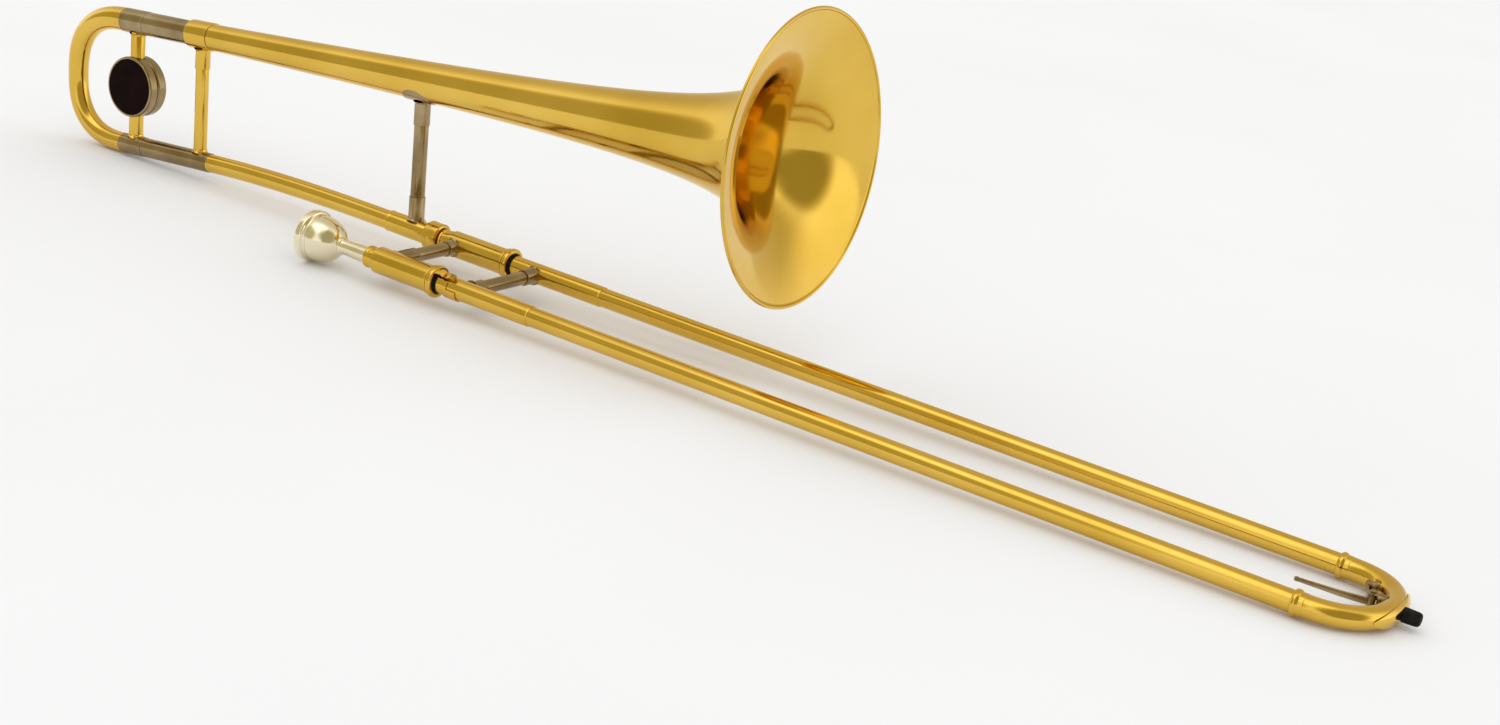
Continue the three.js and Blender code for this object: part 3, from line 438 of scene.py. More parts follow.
def piece(name, body, slot, *shapes):
    """Makes the piece that stands for the CAD node called name, with its finish and its body."""
    points, faces = [], []
    for shape_points, shape_faces in shapes:
        base = len(points)
        points += [PLACE @ point for point in shape_points]
        faces += [[base + i for i in face] for face in shape_faces]
    mesh = bpy.data.meshes.new(f"smooth_{name}")
    mesh.from_pydata(points, [], faces)
    sculpt = bmesh.new()
    sculpt.from_mesh(mesh)
    bmesh.ops.remove_doubles(sculpt, verts=sculpt.verts, dist=WELD_DISTANCE)
    bmesh.ops.recalc_face_normals(sculpt, faces=sculpt.faces)
    sculpt.to_mesh(mesh)
    sculpt.free()
    mesh.shade_smooth()
    mesh.set_sharp_from_angle(angle=SHARP_ANGLE)
    mesh.materials.append(LOOKS[slot])
    made = bpy.data.objects.new(f"smooth_{name}", mesh)
    bpy.context.scene.collection.objects.link(made)
    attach(made, body)
    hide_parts(name)


# ---------------------------------------------------------------- inner slide
def barrel_shape(rear_bore):
    """A barrel with a bead near its front, wide enough inside for the cork ahead of the step."""
    front = BARREL_FRONT
    step = -58.0
    outline = [
        (BARREL_REAR, BARREL_R - 0.9), (BARREL_REAR + 0.9, BARREL_R), (front - 7.5, BARREL_R),
        (front - 7.2, BEAD_R - 0.7), (front - 6.8, BEAD_R - 0.15), (front - 6.1, BEAD_R),
        (front - 5.4, BEAD_R - 0.15), (front - 5.0, BEAD_R - 0.8), (front - 4.9, BARREL_NECK_R),
        (front - 0.3, BARREL_NECK_R)]
    bore = [
        (BARREL_REAR, rear_bore), (step, rear_bore), (step + 0.4, BARREL_BORE), (front - 0.3, BARREL_BORE)]
    return turned(outline, bore)


def front_ring():
    """The rounded ring at a barrel's mouth: a flange on one side, the lock ring on the other."""
    half, rise, steps = 2.3, 1.5, 14
    outline = []
    for i in range(steps + 1):
        angle = math.pi * i / steps
        x = BARREL_FRONT - half - half * math.cos(angle)
        outline.append((x, FRONT_RING_R - rise + rise * math.sin(angle) ** 0.7))
    bore = BARREL_NECK_R + FIT
    return turned(outline, [(BARREL_FRONT - 2 * half, bore), (BARREL_FRONT, bore)], edge=0.2)


def make_cork():
    """The slide's cork: mostly inside the barrel, with a narrower lip that shows ahead of it."""
    rear, front = -57.0, SLEEVE_START - 0.3
    hidden_r = BARREL_BORE - 0.15
    outline = [
        (rear, hidden_r), (BARREL_FRONT - 0.6, hidden_r), (BARREL_FRONT, CORK_LIP_R), (front, CORK_LIP_R)]
    bore = INNER_TUBE_R + 0.1
    return turned(outline, [(rear, bore), (front, bore)], edge=0.4)


def make_inner_tube(rear):
    stocking = INNER_TUBE_FRONT - STOCKING_LENGTH
    outline = [
        (rear, INNER_TUBE_R), (stocking - 3, INNER_TUBE_R), (stocking, STOCKING_R),
        (INNER_TUBE_FRONT - 1, STOCKING_R), (INNER_TUBE_FRONT, INNER_TUBE_R)]
    return turned(outline, [(rear, INNER_TUBE_BORE), (INNER_TUBE_FRONT, INNER_TUBE_BORE)])


def make_inner_slide():
    body = "inner_slide"
    receiver_bore = 7.3                                   # the near barrel holds the receiver
    sides = (
        ("near", NEAR, receiver_bore, RECEIVER_FRONT + 0.6),
        ("far", FAR, INNER_TUBE_R + 0.1, BARREL_REAR + 0.4),
    )
    for side, spot, rear_bore, tube_rear in sides:
        piece(f"barrel_{side}", body, "brass", moved(barrel_shape(rear_bore), spot))
        piece(f"slide_cork_{side}", body, "black_rubber", moved(make_cork(), spot))
        piece(f"inner_tube_{side}", body, "nickel_silver", moved(make_inner_tube(tube_rear), spot))
    piece("barrel_flange_far", body, "brass", moved(front_ring(), FAR))
    make_receiver(body)
    make_tenon(body)
    make_slide_brace("inner_brace", body, INNER_BRACE_X, BARREL_R, 23.0, 8.0)


def make_receiver(body):
    rear, front = RECEIVER_REAR, RECEIVER_FRONT
    outline = [
        (rear, 7.9), (rear + 0.4, 8.3), (rear + 1.9, 8.5), (rear + 3.4, 8.3), (rear + 3.9, 7.8),
        (BARREL_REAR - 1.2, 7.8), (BARREL_REAR - 0.6, 8.4), (BARREL_REAR, 8.4), (BARREL_REAR, 7.2),
        (front, 7.2)]
    receiver = turned(outline, [(rear, 6.75), (front, 6.0)])
    piece("mouthpiece_receiver", body, "brass", moved(receiver, NEAR))
    leadpipe_r = 6.15
    outline = [(front + 0.6, leadpipe_r), (LEADPIPE_FRONT, leadpipe_r)]
    leadpipe = turned(outline, [(front + 0.6, 5.3), (-30, 5.1), (LEADPIPE_FRONT, 5.75)])
    piece("leadpipe", body, "brass", moved(leadpipe, NEAR))


def make_tenon(body):
    """The tapered end that the bell section sits on, with the lock nut's thread as plain rings."""
    half_pitch, thread_root, thread_crest = 0.6, 7.45, 7.8
    outline = [(TENON_REAR, 6.8), (NUT_REAR + 6.1, 6.95)]
    x = NUT_REAR + 6.6
    while x < NUT_FRONT - half_pitch:
        outline += [(x, thread_root), (x + half_pitch, thread_crest)]
        x += 2 * half_pitch
    outline += [
        (NUT_FRONT + 0.4, 7.5), (NUT_FRONT + 0.6, 8.3), (NUT_FRONT + 1.7, 8.6), (NUT_FRONT + 2.8, 8.3),
        (NUT_FRONT + 3.1, 7.6), (NUT_FRONT + 5.6, 7.6), (NUT_FRONT + 6.0, 8.7),
        (BARREL_REAR - 1, 9.2), (BARREL_REAR + 0.1, 9.2)]
    bore = [(TENON_REAR, INNER_TUBE_BORE), (BARREL_REAR + 0.1, INNER_TUBE_BORE)]
    shape = turned(outline, bore, edge=0.15)
    piece("slide_tenon", body, "brass", moved(shape, FAR))


def make_slide_brace(name, body, x, post_r, near_length, far_length):
    """A tube across the slide, held in a socket at each end."""
    tube_r, socket_r, overlap = 5.1, 6.1, 5
    across = Matrix.Rotation(math.pi / 2, 4, "Z")
    upright = Matrix.Rotation(math.pi / 2, 4, "X")        # the slide's tube runs along the socket's Z
    near = moved(socket(post_r, near_length, socket_r, tube_r - 0.1), Matrix.Translation((x, NEAR_Y, 0)),
                 across, upright)
    far = moved(socket(post_r, far_length, socket_r, tube_r - 0.1), Matrix.Translation((x, FAR_Y, 0)),
                Matrix.Rotation(-math.pi / 2, 4, "Z"), upright)
    start = NEAR_Y + post_r + near_length - overlap
    end = FAR_Y - post_r - far_length + overlap
    grip = moved(pipe(start, end, tube_r, tube_r - 0.8, SMALL_SIDES), Matrix.Translation((x, 0, 0)), across)
    piece(f"{name}_tube", body, "nickel_silver", grip)
    piece(f"{name}_socket_near", body, "nickel_silver", near)
    piece(f"{name}_socket_far", body, "nickel_silver", far)


# ---------------------------------------------------------------- slide lock
# Angles are degrees about the near tube, counted from +Y towards +Z.
FINGER_ANGLE = 118
FINGER_HALF_WIDTH = 13
CATCH_START_ANGLE = 145
CATCH_STOP_ANGLE = 183
CATCH_END_ANGLE = 300
HOOK_START = 12.8                  # both ahead of the barrel's front
HOOK_END = 16.6
HOOK_INNER_R = 8.15
FINGER_INNER_R = 9.9
FINGER_OUTER_R = 11.2
CATCH_R = 8.8


def make_slide_lock():
    hook_start, hook_end = BARREL_FRONT + HOOK_START, BARREL_FRONT + HOOK_END
    low, high = FINGER_ANGLE - FINGER_HALF_WIDTH, FINGER_ANGLE + FINGER_HALF_WIDTH
    finger = arc_block(BARREL_FRONT - 4, hook_end, FINGER_INNER_R, FINGER_OUTER_R, low, high)
    hook = arc_block(hook_start, hook_end, HOOK_INNER_R, FINGER_OUTER_R, low, high)
    stud_turn = Matrix.Rotation(math.radians(FINGER_ANGLE + 4), 4, "X")
    outwards = Matrix.Rotation(math.pi / 2, 4, "Z")
    stud = turned([(10.6, 2.9), (12.6, 2.9), (13.2, 2.4)], sides=SMALL_SIDES, edge=0.5)
    stud = moved(stud, Matrix.Translation((BARREL_FRONT + 7.0, 0, 0)), stud_turn, outwards)
    shapes = [moved(shape, NEAR) for shape in (front_ring(), finger, hook, stud)]
    piece("slide_lock_ring", "slide_lock", "brass", *shapes)
    lip_start, lip_end = hook_start - 3.4, hook_start - 0.4
    lip = arc_block(lip_start, lip_end, SLEEVE_R, CATCH_R, CATCH_START_ANGLE, CATCH_END_ANGLE)
    stop = arc_block(lip_start, hook_end + 4, SLEEVE_R, CATCH_R, CATCH_STOP_ANGLE, CATCH_END_ANGLE)
    piece("slide_lock_catch", "outer_slide", "brass", moved(lip, NEAR), moved(stop, NEAR))


# ---------------------------------------------------------------- outer slide
def make_outer_slide():
    body = "outer_slide"
    for side, spot in (("near", NEAR), ("far", FAR)):
        tube = pipe(SLEEVE_START + 0.2, CROOK_START - 4, OUTER_TUBE_R, OUTER_TUBE_BORE)
        piece(f"outer_tube_{side}", body, "brass", moved(tube, spot))
        sleeve = turned(
            [(SLEEVE_START, SLEEVE_R - 0.2), (SLEEVE_START + 0.4, SLEEVE_R), (SLEEVE_END - 1.2, SLEEVE_R),
             (SLEEVE_END - 0.3, SLEEVE_R - 0.25), (SLEEVE_END, OUTER_TUBE_R + 0.1)],
            [(SLEEVE_START, OUTER_TUBE_R - FIT), (SLEEVE_END, OUTER_TUBE_R - FIT)], edge=0.15)
        piece(f"hand_sleeve_{side}", body, "brass", moved(sleeve, spot))
        rear, front = CROOK_FERRULE_REAR, CROOK_START + 1
        ferrule = turned(
            [(rear, 7.35), (rear + 0.3, 8.1), (rear + 1.2, 8.65), (rear + 2.2, 8.8), (rear + 3.2, 8.65),
             (rear + 4.1, 8.1), (rear + 4.5, 7.75), (front, 7.75)],
            [(rear, OUTER_TUBE_R - FIT), (front, OUTER_TUBE_R - FIT)], edge=0.3)
        piece(f"crook_ferrule_{side}", body, "brass", moved(ferrule, spot))
    make_slide_brace("outer_brace", body, 0.0, SLEEVE_R, 12.0, 12.0)
    make_crook(body)


def crook_line():
    lead = Vector((CROOK_START - 3.6, 0, 0))
    bend = square_bend(CROOK_DEPTH, -MIDDLE_Y, CROOK_SQUARENESS, CROOK_STEPS)
    middle = [Vector((CROOK_START + forward, MIDDLE_Y + sideways, 0)) for forward, sideways in bend]
    return [lead + Vector((0, NEAR_Y, 0)), *middle, lead + Vector((0, FAR_Y, 0))]


def make_crook(body):
    line = crook_line()
    crook = bent_pipe(line, AXIS_Z, lambda k: CROOK_R)
    piece("end_crook", body, "brass", crook)

    strap = line[GUARD_TRIM:-GUARD_TRIM]
    last = len(strap) - 1

    def strap_section(k):
        """A strip narrowing towards both ends, whose long edges stand a little off the crook."""
        share = math.sin(math.pi * (k + 0.15) / (last + 0.3))
        half = math.radians(GUARD_HALF_ANGLE) * share ** 0.6
        inner = CROOK_R - 0.05
        outer = CROOK_R + GUARD_OUT * min(1.0, 0.3 + 6 * share)
        bevel = 0.2
        lip = min(inner + 0.55, (inner + outer) / 2)
        foot = half - min(0.9 / outer, half * 0.4)
        lean = min(bevel / outer, half * 0.2)
        spread = [i / 12 - 1 for i in range(25)]          # from one edge to the other
        section = [(outer - bevel, -half)]
        section += [(outer, (half - lean) * t) for t in spread]
        section += [(outer - bevel, half), (lip, half), (lip, foot)]
        section += [(inner, -foot * t) for t in spread]
        section += [(lip, -foot), (lip, -half)]
        return [(r * math.cos(a), r * math.sin(a)) for r, a in section]

    piece("crook_guard", body, "brass", skin(rings_along(strap, AXIS_Z, strap_section)))
    make_bumper(body)
    make_key_seat(body, line)


def make_bumper(body):
    face = CROOK_START + CROOK_DEPTH + CROOK_R + GUARD_OUT
    middle = Matrix.Translation((0, MIDDLE_Y, 0))
    cup = turned([(face - 3.2, 4.5), (face - 1.4, 4.5), (face - 0.8, 4.2)], edge=0.3)
    piece("bumper_cup", body, "brass", moved(cup, middle))
    rubber = turned(
        [(face - 1.6, 4.9), (face + 3.0, 4.75), (BUMPER_FRONT - 2.2, 4.6), (BUMPER_FRONT - 0.9, 4.2),
         (BUMPER_FRONT - 0.2, 3.3), (BUMPER_FRONT, 2.4)], edge=0.6)
    piece("bumper", body, "black_rubber", moved(rubber, middle))


# ---------------------------------------------------------------- water key
KEY_BARREL_R = 2.3
KEY_BORE = 1.35
KEY_HALF_HEIGHT = 5.0
KEY_SEAT_TURN = 11 / 14             # how far round the bend the nipple stands


def standing(outline, centre, bore=(), edge=0.2):
    """A small turned piece about a vertical line through centre."""
    return moved(turned(outline, bore, SMALL_SIDES, edge), Matrix.Translation(centre),
                 Matrix.Rotation(-math.pi / 2, 4, "Y"))


def make_key_seat(body, line):
    k = 1 + round(KEY_SEAT_TURN * CROOK_STEPS)
    seat = line[k]
    ahead = (line[k + 1] - line[k - 1]).normalized()
    inward = AXIS_Z.cross(ahead).normalized()
    pointing = Matrix.Translation(seat) @ Matrix.Rotation(math.atan2(inward.y, inward.x), 4, "Z")
    top = CROOK_R + 2.2
    nipple = turned([(CROOK_R - 1.2, 3.9), (CROOK_R + 0.5, 3.1), (top - 0.4, 3.0), (top, 2.7)],
                    [(CROOK_R - 1.2, 1.6), (top, 1.6)], SMALL_SIDES)
    piece("key_nipple", body, "nickel_silver", moved(nipple, pointing))
    make_key_saddle(body)
    make_key_lever(seat, inward, pointing, top)


def make_key_saddle(body):
    away = (KEY_HINGE - Vector((CROOK_START, MIDDLE_Y, 0))).normalized()
    low, high = KEY_HALF_HEIGHT + 0.2, KEY_HALF_HEIGHT + 1.6
    eye_r = 2.7
    foot_line = [KEY_HINGE + away * reach for reach in (3.6, 5.0, 7.2, 9.0)]
    shapes = [bar(foot_line, AXIS_Z, [2 * high, 2 * high, 2 * high, 2 * high + 1.5], 6.6)]
    for sign in (-1, 1):
        height = AXIS_Z * sign * (low + high) / 2
        lug_line = [KEY_HINGE + height + away * reach for reach in (-0.5, 1.5, 4.0, 8.5)]
        shapes.append(bar(lug_line, AXIS_Z, [high - low] * 4, 5.0))
        bottom, top = sorted((sign * low, sign * high))
        shapes.append(standing([(bottom, eye_r), (top, eye_r)], KEY_HINGE, edge=0.3))
    piece("key_saddle", body, "nickel_silver", *shapes)
    screw = [(-high - 0.6, 1.2), (high + 0.2, 1.2), (high + 0.2, 2.0), (high + 0.9, 2.0), (high + 1.2, 1.5)]
    piece("key_screw", body, "nickel_silver", standing(screw, KEY_HINGE))
    make_key_spring(body)


def make_key_spring(body):
    turns, per_turn, wire_r = 2, 24, 0.35
    coil_r = KEY_BARREL_R + wire_r + 0.15
    coil = []
    for i in range(turns * per_turn + 1):
        angle = 2 * math.pi * i / per_turn
        z = KEY_HALF_HEIGHT - 0.45 - 0.85 * i / per_turn
        coil.append(KEY_HINGE + Vector((coil_r * math.cos(angle), coil_r * math.sin(angle), z)))
    wire = skin(rings_along(coil, AXIS_Z, lambda k: circle(wire_r, 12)))
    piece("key_spring", body, "nickel_silver", wire)


def make_key_lever(seat, inward, pointing, nipple_top):
    cork_top = nipple_top + 2.3
    cork = turned([(nipple_top + 0.1, 3.2), (cork_top, 3.2)], sides=SMALL_SIDES, edge=0.4)
    piece("key_cork", "water_key", "key_cork", moved(cork, pointing))
    cup = turned([(cork_top - 1.2, 4.1), (cork_top + 0.5, 4.1), (cork_top + 1.1, 3.0), (cork_top + 1.3, 1.5)],
                 [(cork_top - 1.2, 3.3), (cork_top + 0.1, 3.3), (cork_top + 0.2, 0.4), (cork_top + 1.3, 0.4)],
                 SMALL_SIDES)
    cup_back = seat + inward * (cork_top + 0.9)
    bow = (cup_back + KEY_HINGE) / 2 - Vector((1.5, 0, 0))
    arm_line = curve_through([cup_back, bow, KEY_HINGE])
    steps = len(arm_line) - 1
    arm = bar(arm_line, AXIS_Z, [3.4 + 1.2 * k / steps for k in range(steps + 1)], 1.5)
    sideways = Vector((0, -1.2, 0))
    first = KEY_HINGE.lerp(KEY_TIP, 0.35) + sideways
    second = KEY_HINGE.lerp(KEY_TIP, 0.7) + sideways * 0.6
    paddle_line = curve_through([KEY_HINGE, first, second, KEY_TIP])
    steps = len(paddle_line) - 1
    paddle = bar(paddle_line, AXIS_Z, [4.8 - 2.2 * (k / steps) for k in range(steps + 1)], 1.4)
    touch = standing([(-1.3, 1.3), (-0.8, 1.7), (0.8, 1.7), (1.3, 1.3)], KEY_TIP, edge=0.3)
    ends = (-KEY_HALF_HEIGHT, KEY_HALF_HEIGHT)
    hinge = standing([(x, KEY_BARREL_R) for x in ends], KEY_HINGE, [(x, KEY_BORE) for x in ends])
    piece("key_lever", "water_key", "nickel_silver", moved(cup, pointing), arm, paddle, touch, hinge)


# ---------------------------------------------------------------- mouthpiece
def make_mouthpiece():
    """Rim, cup, throat and shank as one wall; x is counted forwards from the rim."""
    rear = MOUTHPIECE_RIM_X
    outline = [
        (0.5, 16.0), (0.05, 17.0), (0.3, 18.4), (1.2, 19.5), (2.4, 19.8), (5.6, 19.8), (6.6, 19.4),
        (7.1, 18.5), (7.4, 17.6), (8.2, 17.2), (9.6, 17.2), (10.6, 17.5), (12.0, 17.55), (15.0, 17.2),
        (18.0, 16.5), (21.0, 15.5), (23.5, 14.3), (26.0, 12.6), (28.2, 10.5), (29.8, 8.3), (30.7, 6.7),
        (31.2, 6.2), (31.8, 6.7), (32.6, 6.95), (33.4, 6.7), (34.0, 6.0), (37.0, 5.75), (40.0, 5.8),
        (52.0, 6.2), (80.0, 5.6)]
    bore = [
        (0.5, 14.2), (1.2, 13.3), (2.6, 12.7), (7.0, 12.3), (12.0, 11.4), (16.0, 9.9), (19.5, 8.0),
        (22.0, 6.0), (24.5, 4.2), (27.0, 3.1), (80.0, 4.9)]
    outline = [(rear + x, r) for x, r in outline]
    bore = [(rear + x, r) for x, r in bore]
    shape = turned(outline, bore, sides=MOUTHPIECE_SIDES, edge=0.5)
    piece("mouthpiece", "mouthpiece", "silver_plate", moved(shape, NEAR))


# ---------------------------------------------------------------- bell section
def bell_radius(s):
    """Outside radius: a gently tapered stem plus a flare that opens ever faster."""
    stem = STEM_TAPER * (s - BELL_START_S)
    stem_at_rim = STEM_TAPER * (BELL_RIM_S - BELL_START_S)
    flare = (FLARE_REACH / (FLARE_REACH + BELL_RIM_S - s)) ** FLARE_POWER
    return stem + (BELL_RIM_R - stem_at_rim) * flare


def bell_outline(steps):
    """Stations crowd together towards the rim; the lip ends inside the rolled bead."""
    length = BELL_RIM_S - BELL_START_S
    lip = Vector((BELL_RIM_S, BELL_RIM_R - 2 * RIM_BEAD_R + 0.1))
    outline = []
    for i in range(steps + 1):
        s = BELL_RIM_S - length * (1 - i / steps) ** 2.6
        if bell_radius(s) < lip.y - 0.3:
            outline.append(Vector((s, bell_radius(s))))
    return [*outline, lip]


def make_bell(body):
    outline = bell_outline(150)
    last = len(outline) - 1
    bore = []
    for k, point in enumerate(outline):
        run = (outline[min(k + 1, last)] - outline[max(k - 1, 0)]).normalized()
        bore.append(point + Vector((run.y, -run.x)) * BELL_WALL)
    rings = [ring_at(s, r, BELL_SIDES) for s, r in [*outline, *reversed(bore)]]
    piece("bell", body, "brass", moved(skin(rings, closed=True), BELL))
    bead = [(BELL_RIM_S + v, BELL_RIM_R - RIM_BEAD_R + u) for u, v in circle(RIM_BEAD_R, 20)]
    rim = skin([ring_at(s, r, BELL_SIDES) for s, r in bead], closed=True)
    piece("bell_rim", body, "brass", moved(rim, BELL))


def make_bell_section():
    body = "bell_section"
    make_bell(body)
    rear, front = BELL_FERRULE_START_S, BELL_START_S - 0.4
    step = -356.4                                         # where the bore narrows from sleeve to stem
    sleeve_r = TUNING_SLEEVE_R["upper"]
    stem = bell_radius(BELL_START_S) - 0.2
    ferrule = turned(
        [(rear, BELL_FERRULE_R - 0.8), (rear + 0.9, BELL_FERRULE_R - 0.1), (rear + 2.0, BELL_FERRULE_R),
         (front - 0.5, BELL_FERRULE_R), (front, BELL_FERRULE_R - 0.5), (front, stem)],
        [(rear, sleeve_r), (step - 0.2, sleeve_r), (step, stem), (front, stem)])
    piece("bell_ferrule", body, "brass", moved(ferrule, BELL))
    start = TUNING_SPLIT_S + 0.2
    for leg, spot, end in (("upper", UPPER, step - 0.6), ("lower", LOWER, NECKPIPE_START_S + 0.4)):
        radius = TUNING_SLEEVE_R[leg]
        outline = [(start, radius - 0.15), (start + 0.3, radius), (end - 0.5, radius), (end, radius - 0.2)]
        sleeve = turned(outline, [(start, radius - 0.35), (end, radius - 0.6)], edge=0.12)
        piece(f"tuning_sleeve_{leg}", body, "nickel_silver", moved(sleeve, BELL, spot))
    make_neckpipe(body)
    make_bell_braces(body)


def make_neckpipe(body):
    start = BELL @ LOWER @ Vector((NECKPIPE_START_S, 0, 0))
    reach = NECKPIPE_EASE * -start.z / math.tan(BELL_TILT)
    steps = 40
    line = []
    for i in range(steps + 1):
        line.append(Vector((start.x + reach * i / steps, 0, start.z * (1 - i / steps) ** NECKPIPE_EASE)))
    line.append(Vector((TENON_REAR - 0.8, 0, 0)))
    piece("neckpipe", body, "brass", bent_pipe(line, AXIS_Y, lambda k: NECKPIPE_R))
    rear, front = FERRULE_REAR, NUT_REAR + 5.9
    ferrule = turned(
        [(rear, 7.8), (rear + 0.5, FERRULE_R - 0.1), (rear + 2.0, FERRULE_R + 0.1),
         (rear + 3.4, FERRULE_R - 0.15), (NUT_REAR - 0.3, FERRULE_R), (NUT_REAR - 0.1, 7.8), (front, 7.8)],
        [(rear, NECKPIPE_R - 0.1), (TENON_REAR - 0.6, NECKPIPE_R - 0.1), (TENON_REAR - 0.4, 7.05),
         (front, 7.05)])
    piece("neckpipe_ferrule", body, "brass", moved(ferrule, FAR))


def hanging(s):
    """Turns a shape that runs along X into one that hangs down from the bell's axis at station s."""
    return Matrix.Translation((s, 0, 0)) @ Matrix.Rotation(math.pi / 2, 4, "Y")


def hanging_socket(s, seat_r, length, radius, bore, flare=1.3):
    """A socket that hangs down from a tube on the bell's axis."""
    return moved(socket(seat_r, length, radius, bore, flare), BELL, hanging(s))


def rising_socket(s, seat_r, seat_depth, length, radius, bore, flare=1.3):
    """A socket that stands up on a tube whose axis lies seat_depth below the bell's."""
    up = Matrix.Translation((s, 0, -seat_depth)) @ Matrix.Rotation(-math.pi / 2, 4, "Y")
    return moved(socket(seat_r, length, radius, bore, flare), BELL, up)


def make_bell_braces(body):
    s = REAR_BRACE_S
    rod_r = 5.4
    rod_top, rod_foot = 12, LEG_SPACING - TUNING_SLEEVE_R["lower"] + 1.2
    rod = moved(pipe(rod_top, rod_foot, rod_r, 4.6, SMALL_SIDES), BELL, hanging(s))
    foot = rising_socket(s, TUNING_SLEEVE_R["lower"], LEG_SPACING, 2.2, rod_r + 0.35, rod_r - 0.2, 1.2)
    piece("rear_brace_tube", body, "brass", rod, foot)
    top = hanging_socket(s, BELL_FERRULE_R, REAR_SOCKET_END - BELL_FERRULE_R, 6.1, rod_r - 0.1)
    piece("rear_brace_socket", body, "brass", top)

    s = FRONT_BRACE_S
    rod_r, socket_r = 5.65, 6.3
    rod_top, rod_foot = 30, 94
    rod = moved(pipe(rod_top, rod_foot, rod_r, rod_r - 0.8, SMALL_SIDES), BELL, hanging(s))
    piece("front_brace_tube", body, "nickel_silver", rod)
    stem_r = bell_radius(s) + 0.9
    upper = hanging_socket(s, stem_r, FRONT_SOCKET_END - stem_r, socket_r, rod_r - 0.1)
    piece("front_brace_socket_upper", body, "nickel_silver", upper)
    below = BELL @ Vector((s, 0, 0))
    slope = Vector((math.sin(BELL_TILT), 0, -math.cos(BELL_TILT)))
    foot_depth = -below.z / slope.z                       # where the brace's axis meets the neckpipe's
    foot_length = foot_depth - FRONT_FOOT_TOP - FERRULE_R
    lower = rising_socket(s, FERRULE_R, foot_depth, foot_length, socket_r, rod_r - 0.1)
    piece("front_brace_socket_lower", body, "nickel_silver", lower)
    piece("front_brace_flange", body, "nickel_silver", oval_flange(s))


def oval_flange(s):
    """A thin oval saddle wrapped under the stem, with a rounded edge."""
    rows, sides, power = 12, 64, FLANGE_SQUARENESS
    rings = []
    for row in range(rows + 1):
        share = 1 - row / rows
        lift = FLANGE_THICKNESS * math.sqrt(max(0.0, 1 - share ** 10)) - 0.1
        ring = []
        for i in range(sides):
            angle = 2 * math.pi * i / sides
            fullness = (abs(math.cos(angle)) ** power + abs(math.sin(angle)) ** power) ** (-1 / power)
            along = FLANGE_HALF_LENGTH * share * fullness * math.cos(angle)
            around = FLANGE_HALF_WIDTH * share * fullness * math.sin(angle)
            radius = bell_radius(s + along) + lift
            turn = around / radius
            ring.append(Vector((s + along, radius * math.sin(turn), -radius * math.cos(turn))))
        if share > 0.2:
            rings.append(ring)
    return moved(skin(rings), BELL)


def make_lock_nut():
    outline = [(NUT_REAR, NUT_R - 0.8), (NUT_REAR + 0.8, NUT_R)]
    for k in range(3):
        x = NUT_REAR + 2 + 1.4 * k
        outline += [(x, NUT_R), (x + 0.35, NUT_R - 0.35), (x + 0.7, NUT_R)]
    outline += [(NUT_FRONT - 1.6, NUT_R), (NUT_FRONT - 0.6, NUT_R - 0.5), (NUT_FRONT, NUT_R - 1.6)]
    shape = turned(outline, [(NUT_REAR, 7.95), (NUT_FRONT - 1.2, 7.95), (NUT_FRONT, 9.2)], edge=0.2)
    piece("lock_nut", "lock_nut", "brass", moved(shape, FAR))


# ---------------------------------------------------------------- tuning slide
def make_tuning_slide():
    body = "tuning_slide"
    for leg, spot, end in (("upper", UPPER, -361.0), ("lower", LOWER, -350.0)):
        radius = BOW_R[leg]
        pipe_r = TUNING_LEG_R[leg]
        ferrule = turned(
            [(BOW_START_S, radius - 0.1), (BOW_START_S + 0.5, radius + 0.1),
             (TUNING_SPLIT_S - 0.6, radius + 0.1), (TUNING_SPLIT_S, radius - 0.2)],
            [(BOW_START_S, pipe_r - FIT), (TUNING_SPLIT_S, pipe_r - FIT)], edge=0.2)
        piece(f"bow_ferrule_{leg}", body, "nickel_silver", moved(ferrule, BELL, spot))
        tube = pipe(BOW_START_S + 2, end, pipe_r, pipe_r - 0.4)
        piece(f"tuning_leg_{leg}", body, "nickel_silver", moved(tube, BELL, spot))
    make_bow(body)
    make_weight(body)


def make_bow(body):
    lead = 2.0
    start = BOW_START_S - lead
    bend = square_bend(start - BOW_APEX_S, LEG_SPACING / 2, BOW_SQUARENESS, BOW_STEPS)
    middle = -LEG_SPACING / 2
    line = [Vector((start + lead, 0, -LEG_SPACING))]
    line += [Vector((start - back, 0, middle + up)) for back, up in bend]
    line.append(Vector((start + lead, 0, 0)))

    def radius(k):
        past_apex = max(0.0, 2 * k / (len(line) - 1) - 1)
        return BOW_R["lower"] + (BOW_R["upper"] - BOW_R["lower"]) * past_apex

    piece("tuning_bow", body, "brass", moved(bent_pipe(line, AXIS_Y, radius), BELL))


